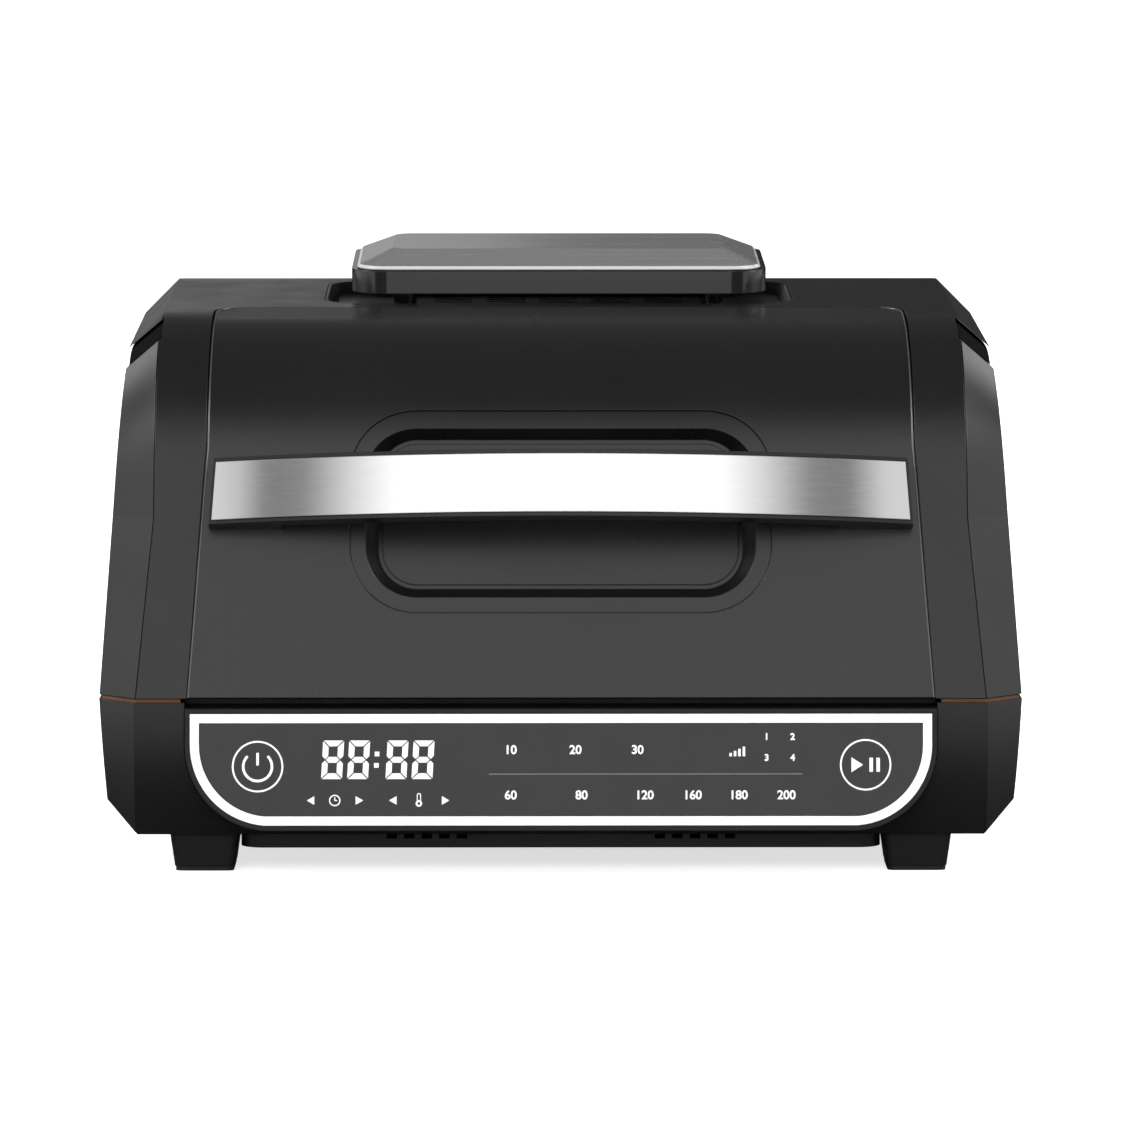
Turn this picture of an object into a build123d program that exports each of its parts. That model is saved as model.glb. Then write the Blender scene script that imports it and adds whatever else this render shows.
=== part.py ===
# Countertop air fryer grill with a rear-hinged hood, in millimetres.
# +Z is up, the front faces -Y, and the origin is on the worktop under the middle of the cooker.
import os
from math import cos, radians, sin, sqrt, tan

from build123d import *

# Overall body
body_width = 400.0  # across the side walls at the seam
body_depth = 340.0  # front seam line to rear wall
front_y = -178.0  # front seam line
rear_y = front_y + body_depth
pot_side_margin = 51.0  # from the side wall to the pot
pot_front_margin = 52.0  # from the front seam line to the pot
pot_rear_margin = 44.0  # from the pot to the rear wall
pot_half_width = body_width / 2 - pot_side_margin
pot_half_depth = (body_depth - pot_front_margin - pot_rear_margin) / 2
cook_y = front_y + pot_front_margin + pot_half_depth  # middle of the cooking space and the fan
fit_gap = 0.3  # between fixed pieces that seat on each other
reach = 420.0  # length of a cutter that has to pass right through

# Base housing
base_bottom_z = 16.3
seam_z = 74.0  # top of the base housing
base_wall = 3.0
deck_thickness = 3.0
base_arch_radius = 85.0  # front face, seen from the side
base_toe_inset = 3.5  # side wall where it meets its bottom chamfer, in from the seam
base_toe_z = 30.5
base_toe_chamfer = 13.5
floor_lip = 8.0  # base floor that laps over the bottom plate

# Hood
hood_bottom_z = 75.8
hood_top_z = 243.3  # crown at its ridge
hood_wall = 3.6
face_lean = 15.0  # degrees that the flat face leans back
face_arc_radius = 90.0  # from the flat face into the crown
crown_slope = 3.2  # degrees that the crown falls to the front and to the rear of its ridge
crown_ridge_y = rear_y - 100.0
crown_blend_radius = 200.0
rear_arc_radius = 62.0
corner_inset_seam = 16.1  # sharp front corner, in from the side wall, at the seam
corner_inset_top = 24.0  # the same from corner_straight_z up
corner_straight_z = 152.0
facet_width = 24.0  # 45 degree facet outside the corner, before the side wall trims it
cap_break_z = 213.0  # the side wall stands upright above this height
cap_inset = 8.8  # upright part of the side wall, in from the seam
skin_thickness = 2.3  # front panel and side panels, let into the hood frame

# Side slots of the hood, in the front view
slot_low_z = 226.0  # lower edge at the sharp corner
slot_height = 7.5
slot_fall = 41.0  # degrees that the slot falls outwards
slot_rear_margin = 52.0
side_split = 0.3  # from the sharp corner to the side panel
vent_lap = 3.0
vent_thickness = 2.0
vent_recess = 1.2  # louvres below the hood's surface
vent_slit_width = 5.0
vent_slit_pitch = 10.0
vent_slit_land = 1.2  # above and below a slit
vent_slit_start_y = front_y + 112.0
vent_rear_land = 15.0

# Front panel
panel_margin_seam = 22.9  # from the sharp corner to the panel's edge, at the seam
panel_margin_top = 23.0
panel_straight_z = 182.0
panel_bottom_z = hood_bottom_z + 0.4
panel_top_y = front_y + 125.0
panel_corner_radius = 12.0
panel_fall = 8.0  # degrees that the panel's top falls forward, more than the crown
panel_blend_radius = 60.0
panel_gap = 0.8

# Finger pocket, measured along the leaning face
pocket_z = 155.5
pocket_half = 79.2
pocket_half_height = 33.0
pocket_corner_radius = 17.0
pocket_depth = 11.0
pocket_flare = 5.5  # growth of the outline from floor to face
pocket_wall = 2.0
pocket_land = 6.4  # flange round the pocket mouth
pocket_land_depth = 0.6
pocket_groove_width = 2.0
pocket_groove_depth = 0.8

# Handle
handle_z = 161.3
handle_height = 29.0
handle_thickness = 11.0
handle_side_margin = 3.5  # from the panel edge to the end of the handle
handle_end_reach = 10.0
handle_mid_reach = 35.0
handle_foot_length = 27.0
trim_height = 25.3
trim_thickness = 1.2
trim_inlay = 0.8
trim_end_margin = 1.2
handle_screw_radius = 2.0
handle_screw_spacing = 12.0
handle_screw_depth = 9.0

# Vent tower on the crown, measured square to the crown
tower_y = cook_y + 20.0
tower_half_width = 93.5
tower_half_depth = 51.0
tower_corner_radius = 16.0
tower_lift = 4.0  # air gap between crown and tower
tower_wall_height = 10.2
tower_wall = 4.5
plate_rim_height = 1.6
plate_rim_chamfer = 1.2
plate_bevel_width = 18.5
plate_bevel_height = 6.4
plate_top_radius = 8.0
plate_wall = 2.0
plate_inset = 2.4  # rim of the plate inside the tower's outline
scoop_y = tower_y - 9.5
scoop_half_width = 105.5
scoop_half_depth = 46.0
scoop_corner_radius = 17.0
scoop_depth = 5.0
scoop_taper = 5.0
scoop_thickness = 2.2
scoop_flange = 6.0
intake_slot_length = 18.0
intake_slot_width = 4.0
tower_leg_radius = 5.0
tower_leg_spacing_x = 140.0
tower_leg_spacing_y = 40.0

# Control panel
console_margin = 38.0  # from the side wall to the control panel
console_half = body_width / 2 - console_margin
console_top_z = 71.8
console_bottom_z = 19.6
console_corner_radius = 37.0
console_lean = 7.3
console_trim = 0.1  # taken off the panel's lower edge so that it is level
console_top_y = front_y - 2.5
console_depth = 16.0
console_wall = 2.5
ring_margin = 2.1  # bezel outside the ring, at the top and sides
ring_bottom_margin = 2.2
ring_width = 4.0
ring_depth = 1.5
glass_depth = 2.0
inlay_gap = 0.15
seam_notch_depth = 16.0
board_width = 270.0
board_height = 34.0
board_thickness = 1.6
board_setback = 13.0
display_width = 56.0
display_height = 22.0
display_x = -80.5
key_pad_radius = 5.0

# Gasket in the seam
gasket_inset = 1.2
gasket_width = 3.0

# Cooking pot and its well
pot_corner_radius = 32.0
pot_wall = 2.5
pot_floor_z = 34.0
pot_floor_radius = 8.0
pot_rim_width = 6.0
pot_rim_thickness = 2.2
well_clearance = 1.6
well_floor_z = 23.0
liner_thickness = 1.2
liner_flange = 9.0

# Grill plate
grill_margin = 10.0  # from the pot wall to the plate
grill_thickness = 3.0
grill_foot_height = 7.0
grill_foot_radius = 5.0
grill_rim_height = 3.0
grill_rim_width = 3.0
ridge_pitch = 18.0
ridge_side_margin = 13.0  # least distance from the plate's edge to the outer ridges
ridge_width = 5.0
ridge_height = 4.0
ridge_end_margin = 12.0
drain_width = 4.0
drain_length = 34.0

# Hood interior
dome_bottom_z = 79.0
dome_roof_z = 168.0
dome_low_inset = 32.0  # from the side wall to the dome's foot
dome_low_half = body_width / 2 - dome_low_inset
dome_low_front_y = front_y + 30.0
dome_low_rear_y = rear_y - 24.0
dome_high_inset = 50.0  # from the side wall to the dome's roof
dome_high_half = body_width / 2 - dome_high_inset
dome_high_front_y = front_y + 58.0
dome_high_rear_y = rear_y - 40.0
dome_corner_radius = 30.0
guard_z = 124.0
guard_thickness = 1.2
guard_half_width = pot_half_width - 27.0
guard_half_depth = pot_half_depth - 26.0
guard_post_radius = 3.0
guard_slot_width = 7.0
guard_slot_pitch = 14.0
guard_slot_length = 66.0
guard_side_land = 18.0  # least distance from the guard's edge to the middle of its outer slots
shield_lift = 6.0
shield_thickness = 1.0
shield_half = 118.0

# Heating elements
tube_radius = 3.25
upper_tube_z = 138.0
lower_tube_z = 29.0
tube_bend = 8.0
lower_tube_bend = 4.6
clip_width = 4.0
clip_wall = 1.2
clip_gap = 0.2

# Fan on its shaft
shaft_radius = 4.0
shaft_clearance = 0.06
hub_fit = 0.05
hot_fan_z = 148.0
hot_fan_radius = 52.0
hot_fan_height = 11.0
hot_blade_count = 12
fan_plate_thickness = 1.2
blade_thickness = 1.2
hub_radius = 9.0
nut_height = 5.0
motor_lift = 6.0
motor_radius = 30.0
motor_height = 30.0
motor_plate_thickness = 2.0
cooling_fan_gap = 4.0
cooling_fan_radius = 44.0
cooling_fan_height = 8.0
cooling_blade_count = 8

# Hinge
hinge_back = 12.0  # pivot behind the rear wall
hinge_z = 88.0
hinge_x = 104.0
hinge_knuckle_radius = 9.0
hinge_pin_radius = 3.0
hinge_pin_gap = 0.08
hinge_ear_width = 8.0
hinge_lug_width = 22.0
hinge_side_gap = 0.4
hinge_open = 80.0  # degrees, where the rear wall meets the stop
hinge_plate = 4.0
hinge_stop_radius = 3.0
hinge_stop_back = 15.0

bracket_low_z = 38.0
bracket_top_margin = 2.0  # under the seam
bracket_screw_z = 52.0
bracket_screw_step = 7.0
arm_screw_step = 6.5
rear_screw_bite = 3.0

# Rear of the cooker
power_x = -10.0
power_z = 46.0
power_width = 112.0
power_height = 34.0
power_standoff = 6.0
standoff_radius = 3.0
standoff_margin = 6.0  # from a board's edge to its standoffs
grommet_x = -150.0
grommet_z = 44.0
grommet_bore = 3.8
grommet_neck_radius = 6.2
grommet_flange = 3.3
grille_half = 74.0
grille_low_z = 122.0
grille_high_z = 158.0
grille_recess = 0.5
grille_flange = 5.0
grille_flange_thickness = 1.6
grille_corner_radius = 5.0

# Feet and small pieces
foot_inset = 45.8  # from the side wall to the middle of a foot
foot_x = body_width / 2 - foot_inset
foot_top_width = 30.0
foot_bottom_width = 26.0
foot_length = 34.0
foot_bottom_length = 33.0
foot_setback = 7.0
foot_radius = 3.0
foot_screw_z = 8.0  # seat of the screw's head, up inside the foot
pad_height = 2.0
pad_inset = 0.4
skirt_bottom_z = 10.3
skirt_wall = 2.2
skirt_gap = 0.6
skirt_front_setback = 6.0
skirt_rear_setback = 8.0
skirt_notch_count = 5
skirt_notch_pitch = 7.6
skirt_notch_width = 4.4
skirt_notch_height = 2.0
skirt_notch_x = 58.0
skirt_corner_radius = 10.0
plate_screw_margin_x = 6.0  # from the plate's edge
plate_screw_margin_y = 90.0  # from the front seam line and the rear wall
plate_vent_length = 44.0
plate_vent_width = 5.0
plate_vent_pitch_x = 60.0
plate_vent_pitch_y = 14.0
screw_radius = 2.0
screw_head_radius = 3.6
screw_head_height = 2.0
screw_gap = 0.1

base_toe_half = body_width / 2 - base_toe_inset
corner_half_seam = body_width / 2 - corner_inset_seam
corner_half_top = body_width / 2 - corner_inset_top
cap_half = body_width / 2 - cap_inset
panel_half_seam = corner_half_seam - panel_margin_seam
panel_half_top = corner_half_top - panel_margin_top
lean = radians(face_lean)
slope = radians(crown_slope)
panel_slope = radians(panel_fall)
slot_slope = tan(radians(slot_fall))
half_facet = tan(radians(22.5))
hinge_y = rear_y + hinge_back
face = Plane(origin=(0, front_y, seam_z), x_dir=(1, 0, 0), z_dir=(0, -cos(lean), sin(lean)))
console_tilt = radians(console_lean)
console = Plane(
    origin=(0, console_top_y, console_top_z),
    x_dir=(1, 0, 0),
    z_dir=(0, -cos(console_tilt), sin(console_tilt)),
)


def crown_z(y):
    """Height of the crown in front of its ridge and behind the front arc."""
    return hood_top_z - (crown_ridge_y - y) * tan(slope)


def crown_plane(y):
    """Plane on the crown, with its normal square to the slope."""
    return Plane(origin=(0, y, crown_z(y)), x_dir=(1, 0, 0), z_dir=(0, -sin(slope), cos(slope)))


def up_face(z):
    """Distance along the leaning face from the seam to a height."""
    return (z - seam_z) / cos(lean)


def face_y(z, inset=0.0):
    """Y of the leaning face at a height, moved in by inset along its normal."""
    return front_y + (z - seam_z) * tan(lean) + inset / cos(lean)


def corner_half(z, inset=0.0):
    """Half width at the sharp corner between face and 45 degree facet."""
    share = min(max((z - seam_z) / (corner_straight_z - seam_z), 0.0), 1.0)
    outer = corner_half_seam + (corner_half_top - corner_half_seam) * share
    return outer - inset * half_facet


def wall_half(z):
    """Half width across the hood's side wall at a height below the cap break."""
    return body_width / 2 - cap_inset * (z - seam_z) / (cap_break_z - seam_z)


def base_half(z):
    """Half width across the base's side wall at a height above its chamfer."""
    return base_toe_half + base_toe_inset * (z - base_toe_z) / (seam_z - base_toe_z)


def panel_half(z):
    """Half width of the front panel at a height."""
    share = min(max((z - hood_bottom_z) / (panel_straight_z - hood_bottom_z), 0.0), 1.0)
    return panel_half_seam + (panel_half_top - panel_half_seam) * share


def mirrored(points):
    """A symmetric outline from the points of its right side, bottom to top."""
    return points + [(-x, z) for x, z in reversed(points)]


def front_prism(points):
    """Front-view outline, drawn as its right side, run through the whole depth."""
    with BuildPart() as prism:
        with BuildSketch(Plane.XZ):
            Polygon(*mirrored(points), align=None)
        extrude(amount=reach, both=True)
    return prism.part


def plan_points(half, front, rear):
    """Plan outline with 45 degree facets outside the sharp corners."""
    outer, run = half + facet_width, facet_width / cos(lean)
    right = [(half, front), (outer, front + run), (outer, rear - facet_width), (half, rear)]
    return mirrored(right)


def hood_profile(inset, dipped):
    """Side view of the hood with every side moved in by inset; dipped, it follows the front panel."""
    fall = panel_slope if dipped else slope
    edge_z = crown_z(panel_top_y) - inset / cos(fall)
    reach_y = panel_top_y - face_y(seam_z, inset)
    meet_z = (edge_z - (reach_y + seam_z * tan(lean)) * tan(fall)) / (1 - tan(lean) * tan(fall))
    ridge_z = hood_top_z - inset / cos(slope)
    back_y = rear_y - inset
    corners = [
        (face_y(corner_straight_z, inset), corner_straight_z),
        (face_y(meet_z, inset), meet_z),
        (crown_ridge_y, ridge_z),
        (back_y, ridge_z - (back_y - crown_ridge_y) * tan(slope)),
        (back_y, corner_straight_z),
    ]
    radii = [face_arc_radius - inset, crown_blend_radius - inset, rear_arc_radius - inset]
    if dipped:
        shift = inset * (1 / cos(fall) - 1 / cos(slope)) / (tan(fall) - tan(slope))
        edge_y = panel_top_y + shift
        corners.insert(2, (edge_y, ridge_z - (crown_ridge_y - edge_y) * tan(slope)))
        radii.insert(1, panel_blend_radius - inset)
    with BuildSketch() as sketch:
        with BuildLine():
            shoulder = FilletPolyline(*corners, radius=radii)
            Line(shoulder @ 1, shoulder @ 0)
        make_face()
    return sketch.sketch


def hood_form(inset, low_z=hood_bottom_z, dipped=False):
    """The hood's outer form with every surface moved in by inset, closed at low_z."""
    half = corner_half(corner_straight_z, inset)
    with BuildPart() as form:
        for x, more in (
            (-half - facet_width, facet_width),
            (-half, 0.0),
            (half, 0.0),
            (half + facet_width, facet_width),
        ):
            with BuildSketch(Plane.YZ.offset(x)):
                add(hood_profile(inset + more, dipped))
        loft(ruled=True)
        for z in (low_z, corner_straight_z):
            with BuildSketch(Plane.XY.offset(z)):
                Polygon(*plan_points(corner_half(z, inset), face_y(z, inset), rear_y - inset), align=None)
        loft(ruled=True)
        add(
            front_prism(
                [
                    (wall_half(low_z) - inset, low_z),
                    (cap_half - inset, cap_break_z),
                    (cap_half - inset, hood_top_z),
                ]
            ),
            mode=Mode.INTERSECT,
        )
    return form.part


def base_profile(inset):
    """Side view of the base: an arched front that meets the hood's lean at the seam."""
    arch_y = front_y + base_arch_radius * cos(lean)
    arch_z = seam_z - base_arch_radius * sin(lean)
    radius = base_arch_radius - inset
    low_z = base_bottom_z + inset
    toe = (arch_y - sqrt(radius**2 - (arch_z - low_z) ** 2), low_z)
    top = (arch_y - sqrt(radius**2 - (seam_z - arch_z) ** 2), seam_z)
    with BuildSketch() as sketch:
        with BuildLine():
            ThreePointArc(toe, (arch_y - radius, arch_z), top)
            Polyline(top, (rear_y - inset, seam_z), (rear_y - inset, low_z), toe)
        make_face()
    return sketch.sketch


def base_form(inset, top_z=seam_z):
    """The base's outer form up to top_z, with every wall moved in by inset."""
    half = corner_half(seam_z, inset)
    with BuildPart() as form:
        for x, more in (
            (-half - facet_width, facet_width),
            (-half, 0.0),
            (half, 0.0),
            (half + facet_width, facet_width),
        ):
            with BuildSketch(Plane.YZ.offset(x)):
                add(base_profile(inset + more))
        loft(ruled=True)
        low_z = base_bottom_z + inset
        low_half = base_toe_half - base_toe_chamfer
        add(
            front_prism(
                [
                    (low_half - inset * half_facet, low_z),
                    (base_toe_half - inset, base_toe_z + inset * half_facet),
                    (base_half(top_z) - inset, top_z),
                ]
            ),
            mode=Mode.INTERSECT,
        )
    return form.part


def panel_zone(grow, low_z):
    """Space of the front panel, grown sideways: tapered on the face, round-cornered on the crown."""
    with BuildPart() as zone:
        with BuildSketch(Plane.XZ.offset(-front_y - body_depth / 2)):
            right = [
                (panel_half(low_z) + grow, low_z),
                (panel_half_top + grow, panel_straight_z),
            ]
            Polygon(*mirrored(right), align=None)
        extrude(amount=body_depth)
        depth = panel_top_y + grow - front_y
        with BuildSketch(Plane.XY.offset(panel_straight_z)):
            with Locations((0, front_y + depth / 2 - panel_corner_radius)):
                RectangleRounded(
                    2 * (panel_half_top + grow),
                    depth + 2 * panel_corner_radius,
                    panel_corner_radius + grow,
                )
        extrude(amount=hood_top_z)
    return zone.part


def side_zone(side, grow, rise):
    """Space outside the sharp corner on one side, under a line that falls outwards."""
    far = body_width / 2 + 10
    near_low = corner_half(hood_bottom_z) + side_split - grow
    near = corner_half_top + side_split - grow
    line_z = slot_low_z + rise + (corner_half_top - near) * slot_slope
    with BuildPart() as zone:
        with BuildSketch(Plane.XZ):
            Polygon(
                (side * near_low, hood_bottom_z - 5),
                (side * far, hood_bottom_z - 5),
                (side * far, line_z - (far - near) * slot_slope),
                (side * near, line_z),
                (side * near, corner_straight_z),
                align=None,
            )
        extrude(amount=reach, both=True)
    return zone.part


def slot_zone(side, grow):
    """The falling slot on one side, from the front facet to near the rear wall."""
    near = corner_half_top - 1.0 - grow
    far = body_width / 2 + 10
    low = slot_low_z - grow
    high = slot_low_z + slot_height + grow
    with BuildPart() as zone:
        with BuildSketch(Plane.XZ.offset(-(rear_y - slot_rear_margin + grow))):
            Polygon(
                (side * near, low + (corner_half_top - near) * slot_slope),
                (side * far, low + (corner_half_top - far) * slot_slope),
                (side * far, high + (corner_half_top - far) * slot_slope),
                (side * near, high + (corner_half_top - near) * slot_slope),
                align=None,
            )
        extrude(amount=reach)
    return zone.part


def face_prism(half, half_height, radius, low, high):
    """Rounded prism through the leaning face, round the finger pocket."""
    with BuildPart() as prism:
        with BuildSketch(face.offset(low)):
            with Locations((0, up_face(pocket_z))):
                RectangleRounded(2 * half, 2 * half_height, radius)
        extrude(amount=high - low)
    return prism.part


def well_block(grow, low_z, high_z):
    """Rounded block on the pot's outline, grown sideways."""
    with BuildPart() as block:
        with BuildSketch(Plane.XY.offset(low_z)):
            with Locations((0, cook_y)):
                RectangleRounded(
                    2 * (pot_half_width + grow),
                    2 * (pot_half_depth + grow),
                    pot_corner_radius + grow,
                )
        extrude(amount=high_z - low_z)
    return block.part


def console_outline(inset, low_inset):
    """Outline of the control panel in its own plane: square on top, round below."""
    half = console_half - inset
    low = low_inset - (console_top_z - console_bottom_z) / cos(console_tilt)
    radius = console_corner_radius - inset
    with BuildSketch() as sketch:
        with BuildLine():
            edge = FilletPolyline(
                (-half, -inset), (-half, low), (half, low), (half, -inset), radius=[radius, radius]
            )
            Line(edge @ 1, edge @ 0)
        make_face()
    return sketch.sketch


def console_block(inset, low_inset, back, front):
    """Control panel outline run from back to front along the panel's normal, level underneath."""
    with BuildPart() as block:
        with BuildSketch(console.offset(back)):
            add(console_outline(inset, low_inset))
        extrude(amount=front - back)
        split(bisect_by=Plane.XY.offset(console_bottom_z + low_inset + console_trim), keep=Keep.TOP)
    return block.part


def rod(place, direction, length, radius, bore=0.0):
    """Round rod or sleeve from a point along a direction."""
    with BuildPart() as piece:
        with BuildSketch(Plane(origin=place, z_dir=direction)):
            Circle(radius)
            if bore:
                Circle(bore, mode=Mode.SUBTRACT)
        extrude(amount=length)
    return piece.part


def screw(place, direction, length):
    """Screw whose head sits on a surface at place, with its shank along direction."""
    head = Vector(*place) - Vector(*direction).normalized() * screw_head_height
    with BuildPart() as piece:
        add(rod(place, direction, length, screw_radius))
        add(rod(tuple(head), direction, screw_head_height, screw_head_radius))
    return piece.part


def screw_hole(place, direction, length):
    """Clearance hole for a screw, run a little past both of its ends."""
    start = Vector(*place) - Vector(*direction).normalized()
    return rod(tuple(start), direction, length + 1.0 + fit_gap, screw_radius + screw_gap)


def group(pieces):
    """Separate solids in one node."""
    with BuildPart() as whole:
        for piece in pieces:
            add(piece)
    return whole.part


def on_face(x, z, out):
    """Point in space over the leaning face."""
    return tuple(face.from_local_coords(Vector(x, up_face(z), out)))


# Fastener places, shared by the screws and their holes
well_half_x = pot_half_width + well_clearance
well_half_y = pot_half_depth + well_clearance
skirt_half = foot_x - foot_top_width / 2 - skirt_gap
foot_front_y = front_y + foot_setback + foot_length / 2
foot_rear_y = rear_y - foot_setback - foot_length / 2
foot_places = {
    "front_left": (-foot_x, foot_front_y),
    "front_right": (foot_x, foot_front_y),
    "rear_left": (-foot_x, foot_rear_y),
    "rear_right": (foot_x, foot_rear_y),
}
foot_screw_length = base_bottom_z + base_wall - foot_screw_z
foot_screw_places = [(x, y, foot_screw_z) for x, y in foot_places.values()]
handle_foot_x = panel_half(handle_z) - handle_side_margin - handle_foot_length / 2
handle_screw_places = [
    on_face(side * handle_foot_x, handle_z + step * handle_screw_spacing / 2, -hood_wall - screw_gap)
    for side in (-1, 1)
    for step in (-1, 1)
]
face_out = tuple(face.z_dir)
handle_screw_length = hood_wall + handle_screw_depth
bracket_screw_places = [
    (side * hinge_x + step * bracket_screw_step, rear_y + hinge_plate, bracket_screw_z)
    for side in (-1, 1)
    for step in (-1, 1)
]
bracket_screw_length = hinge_plate + base_wall + rear_screw_bite
arm_screw_places = [
    (side * hinge_x + step * arm_screw_step, rear_y - hood_wall, hinge_z)
    for side in (-1, 1)
    for step in (-1, 1)
]
arm_screw_length = hood_wall + hinge_back - hinge_pin_radius - rear_screw_bite
plate_screw_places = [
    (x, y, skirt_bottom_z)
    for x in (plate_screw_margin_x - skirt_half, skirt_half - plate_screw_margin_x)
    for y in (front_y + plate_screw_margin_y, cook_y, rear_y - plate_screw_margin_y)
]
plate_screw_length = base_bottom_z + base_wall - skirt_bottom_z
crown = crown_plane(tower_y)
leg_y = scoop_y - tower_y
leg_places = [
    (x * tower_leg_spacing_x / 2, leg_y / cos(slope) + y * tower_leg_spacing_y / 2)
    for x in (-1, 1)
    for y in (-1, 1)
]
crown_up = tuple(crown.z_dir)
tower_screw_places = [
    tuple(crown.from_local_coords(Vector(x, y, -scoop_depth - scoop_thickness)))
    for x, y in leg_places
]
tower_screw_length = scoop_thickness + 6.0

# Base housing: hollow, with a deck round the well and an opening for the control panel
with BuildPart() as base_housing:
    add(base_form(0.0))
    add(base_form(base_wall, seam_z - deck_thickness), mode=Mode.SUBTRACT)
    add(well_block(well_clearance + liner_thickness + fit_gap, seam_z - 10, seam_z + 5), mode=Mode.SUBTRACT)
    add(console_block(-fit_gap, -fit_gap, -console_depth - fit_gap, 30.0), mode=Mode.SUBTRACT)
    with BuildSketch(Plane.XY.offset(console_top_z)):
        with Locations((0, front_y + seam_notch_depth)):
            Rectangle(2 * (console_half + fit_gap), 60.0, align=(Align.CENTER, Align.MAX))
    extrude(amount=10.0, mode=Mode.SUBTRACT)
    with BuildSketch(Plane.XY.offset(base_bottom_z - 1)):
        with Locations((0, (front_y + skirt_front_setback + rear_y - skirt_rear_setback) / 2)):
            RectangleRounded(
                2 * (skirt_half - floor_lip),
                body_depth - skirt_front_setback - skirt_rear_setback - 2 * floor_lip,
                skirt_corner_radius,
            )
    extrude(amount=base_wall + 2, mode=Mode.SUBTRACT)
    add(
        rod(
            (grommet_x, rear_y - 2 * base_wall, grommet_z),
            (0, 1, 0),
            3 * base_wall,
            grommet_neck_radius + fit_gap,
        ),
        mode=Mode.SUBTRACT,
    )
    for place in foot_screw_places:
        add(screw_hole(place, (0, 0, 1), foot_screw_length), mode=Mode.SUBTRACT)
    for place in plate_screw_places:
        add(screw_hole(place, (0, 0, 1), plate_screw_length), mode=Mode.SUBTRACT)
    for place in bracket_screw_places:
        add(screw_hole(place, (0, -1, 0), bracket_screw_length), mode=Mode.SUBTRACT)

# Bottom plate: a shallow tray under the floor, with notches in its front edge
with BuildPart() as bottom_plate:
    tray_front = front_y + skirt_front_setback
    tray_rear = rear_y - skirt_rear_setback
    tray_y = (tray_front + tray_rear) / 2
    with BuildSketch(Plane.XY.offset(skirt_bottom_z)):
        with Locations((0, tray_y)):
            RectangleRounded(2 * skirt_half, tray_rear - tray_front, skirt_corner_radius)
    extrude(amount=base_bottom_z - skirt_bottom_z)
    with BuildSketch(Plane.XY.offset(skirt_bottom_z + skirt_wall)):
        with Locations((0, tray_y)):
            RectangleRounded(
                2 * (skirt_half - skirt_wall),
                tray_rear - tray_front - 2 * skirt_wall,
                skirt_corner_radius - skirt_wall,
            )
    extrude(amount=base_bottom_z, mode=Mode.SUBTRACT)
    for side in (-1, 1):
        with BuildSketch(Plane.XY.offset(base_bottom_z - skirt_notch_height)):
            with Locations((side * skirt_notch_x, tray_front)):
                with GridLocations(skirt_notch_pitch, 1, skirt_notch_count, 1):
                    Rectangle(skirt_notch_width, 3 * skirt_wall)
        extrude(amount=base_bottom_z, mode=Mode.SUBTRACT)
    with BuildSketch(Plane.XY.offset(skirt_bottom_z - 1)):
        with Locations((0, cook_y)):
            with GridLocations(plate_vent_pitch_x, plate_vent_pitch_y, 3, 6):
                SlotOverall(plate_vent_length, plate_vent_width)
    extrude(amount=skirt_wall + 2, mode=Mode.SUBTRACT)
    for x, y, z in plate_screw_places:
        add(rod((x, y, z), (0, 0, 1), base_bottom_z - z, screw_head_radius))
    for place in plate_screw_places:
        add(screw_hole(place, (0, 0, 1), plate_screw_length), mode=Mode.SUBTRACT)

# Feet and their soft pads
feet, pads = {}, {}
for corner, (x, y) in foot_places.items():
    with BuildPart() as foot:
        with BuildSketch(Plane.XY.offset(base_bottom_z)):
            with Locations((x, y)):
                RectangleRounded(foot_top_width, foot_length, foot_radius)
        with BuildSketch(Plane.XY.offset(pad_height)):
            with Locations((x, y)):
                RectangleRounded(foot_bottom_width, foot_bottom_length, foot_radius)
        loft(ruled=True)
        add(rod((x, y, 0), (0, 0, 1), foot_screw_z, screw_head_radius + fit_gap), mode=Mode.SUBTRACT)
        add(screw_hole((x, y, foot_screw_z), (0, 0, 1), foot_screw_length), mode=Mode.SUBTRACT)
    with BuildPart() as pad:
        with BuildSketch():
            with Locations((x, y)):
                RectangleRounded(
                    foot_bottom_width - 2 * pad_inset, foot_bottom_length - 2 * pad_inset, foot_radius
                )
        extrude(amount=pad_height)
    feet[f"foot_{corner}"] = foot.part
    pads[f"foot_pad_{corner}"] = pad.part

# Control panel: bezel, inlaid ring, touch panel and what is behind them
board_y = -(console_top_z - console_bottom_z) / 2 / cos(console_tilt) + 3.0
with BuildPart() as panel_bezel:
    add(console_block(0.0, 0.0, -console_depth, 0.0))
    bezel_wall = glass_depth + 2.0
    add(
        console_block(console_wall, console_wall, -console_depth - 1, -bezel_wall),
        mode=Mode.SUBTRACT,
    )
    add(console_block(ring_margin, ring_bottom_margin, -ring_depth, 1.0), mode=Mode.SUBTRACT)
    add(
        console_block(ring_margin + ring_width, ring_bottom_margin + ring_width, -glass_depth, 1.0),
        mode=Mode.SUBTRACT,
    )
    with BuildSketch(console.offset(-bezel_wall)):
        with Locations((0, board_y)):
            with GridLocations(
                board_width - 2 * standoff_margin, board_height - 2 * standoff_margin, 2, 2
            ):
                Circle(standoff_radius)
    extrude(amount=-(board_setback - bezel_wall))
    with BuildSketch(console):
        with Locations((display_x, board_y)):
            Rectangle(display_width - 4.0, display_height - 4.0)
        with Locations((20.0, board_y + 6.0), (20.0, board_y - 8.0)):
            with GridLocations(24.0, 1, 6, 1):
                Circle(key_pad_radius)
    extrude(amount=-bezel_wall - 1, mode=Mode.SUBTRACT)

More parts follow.
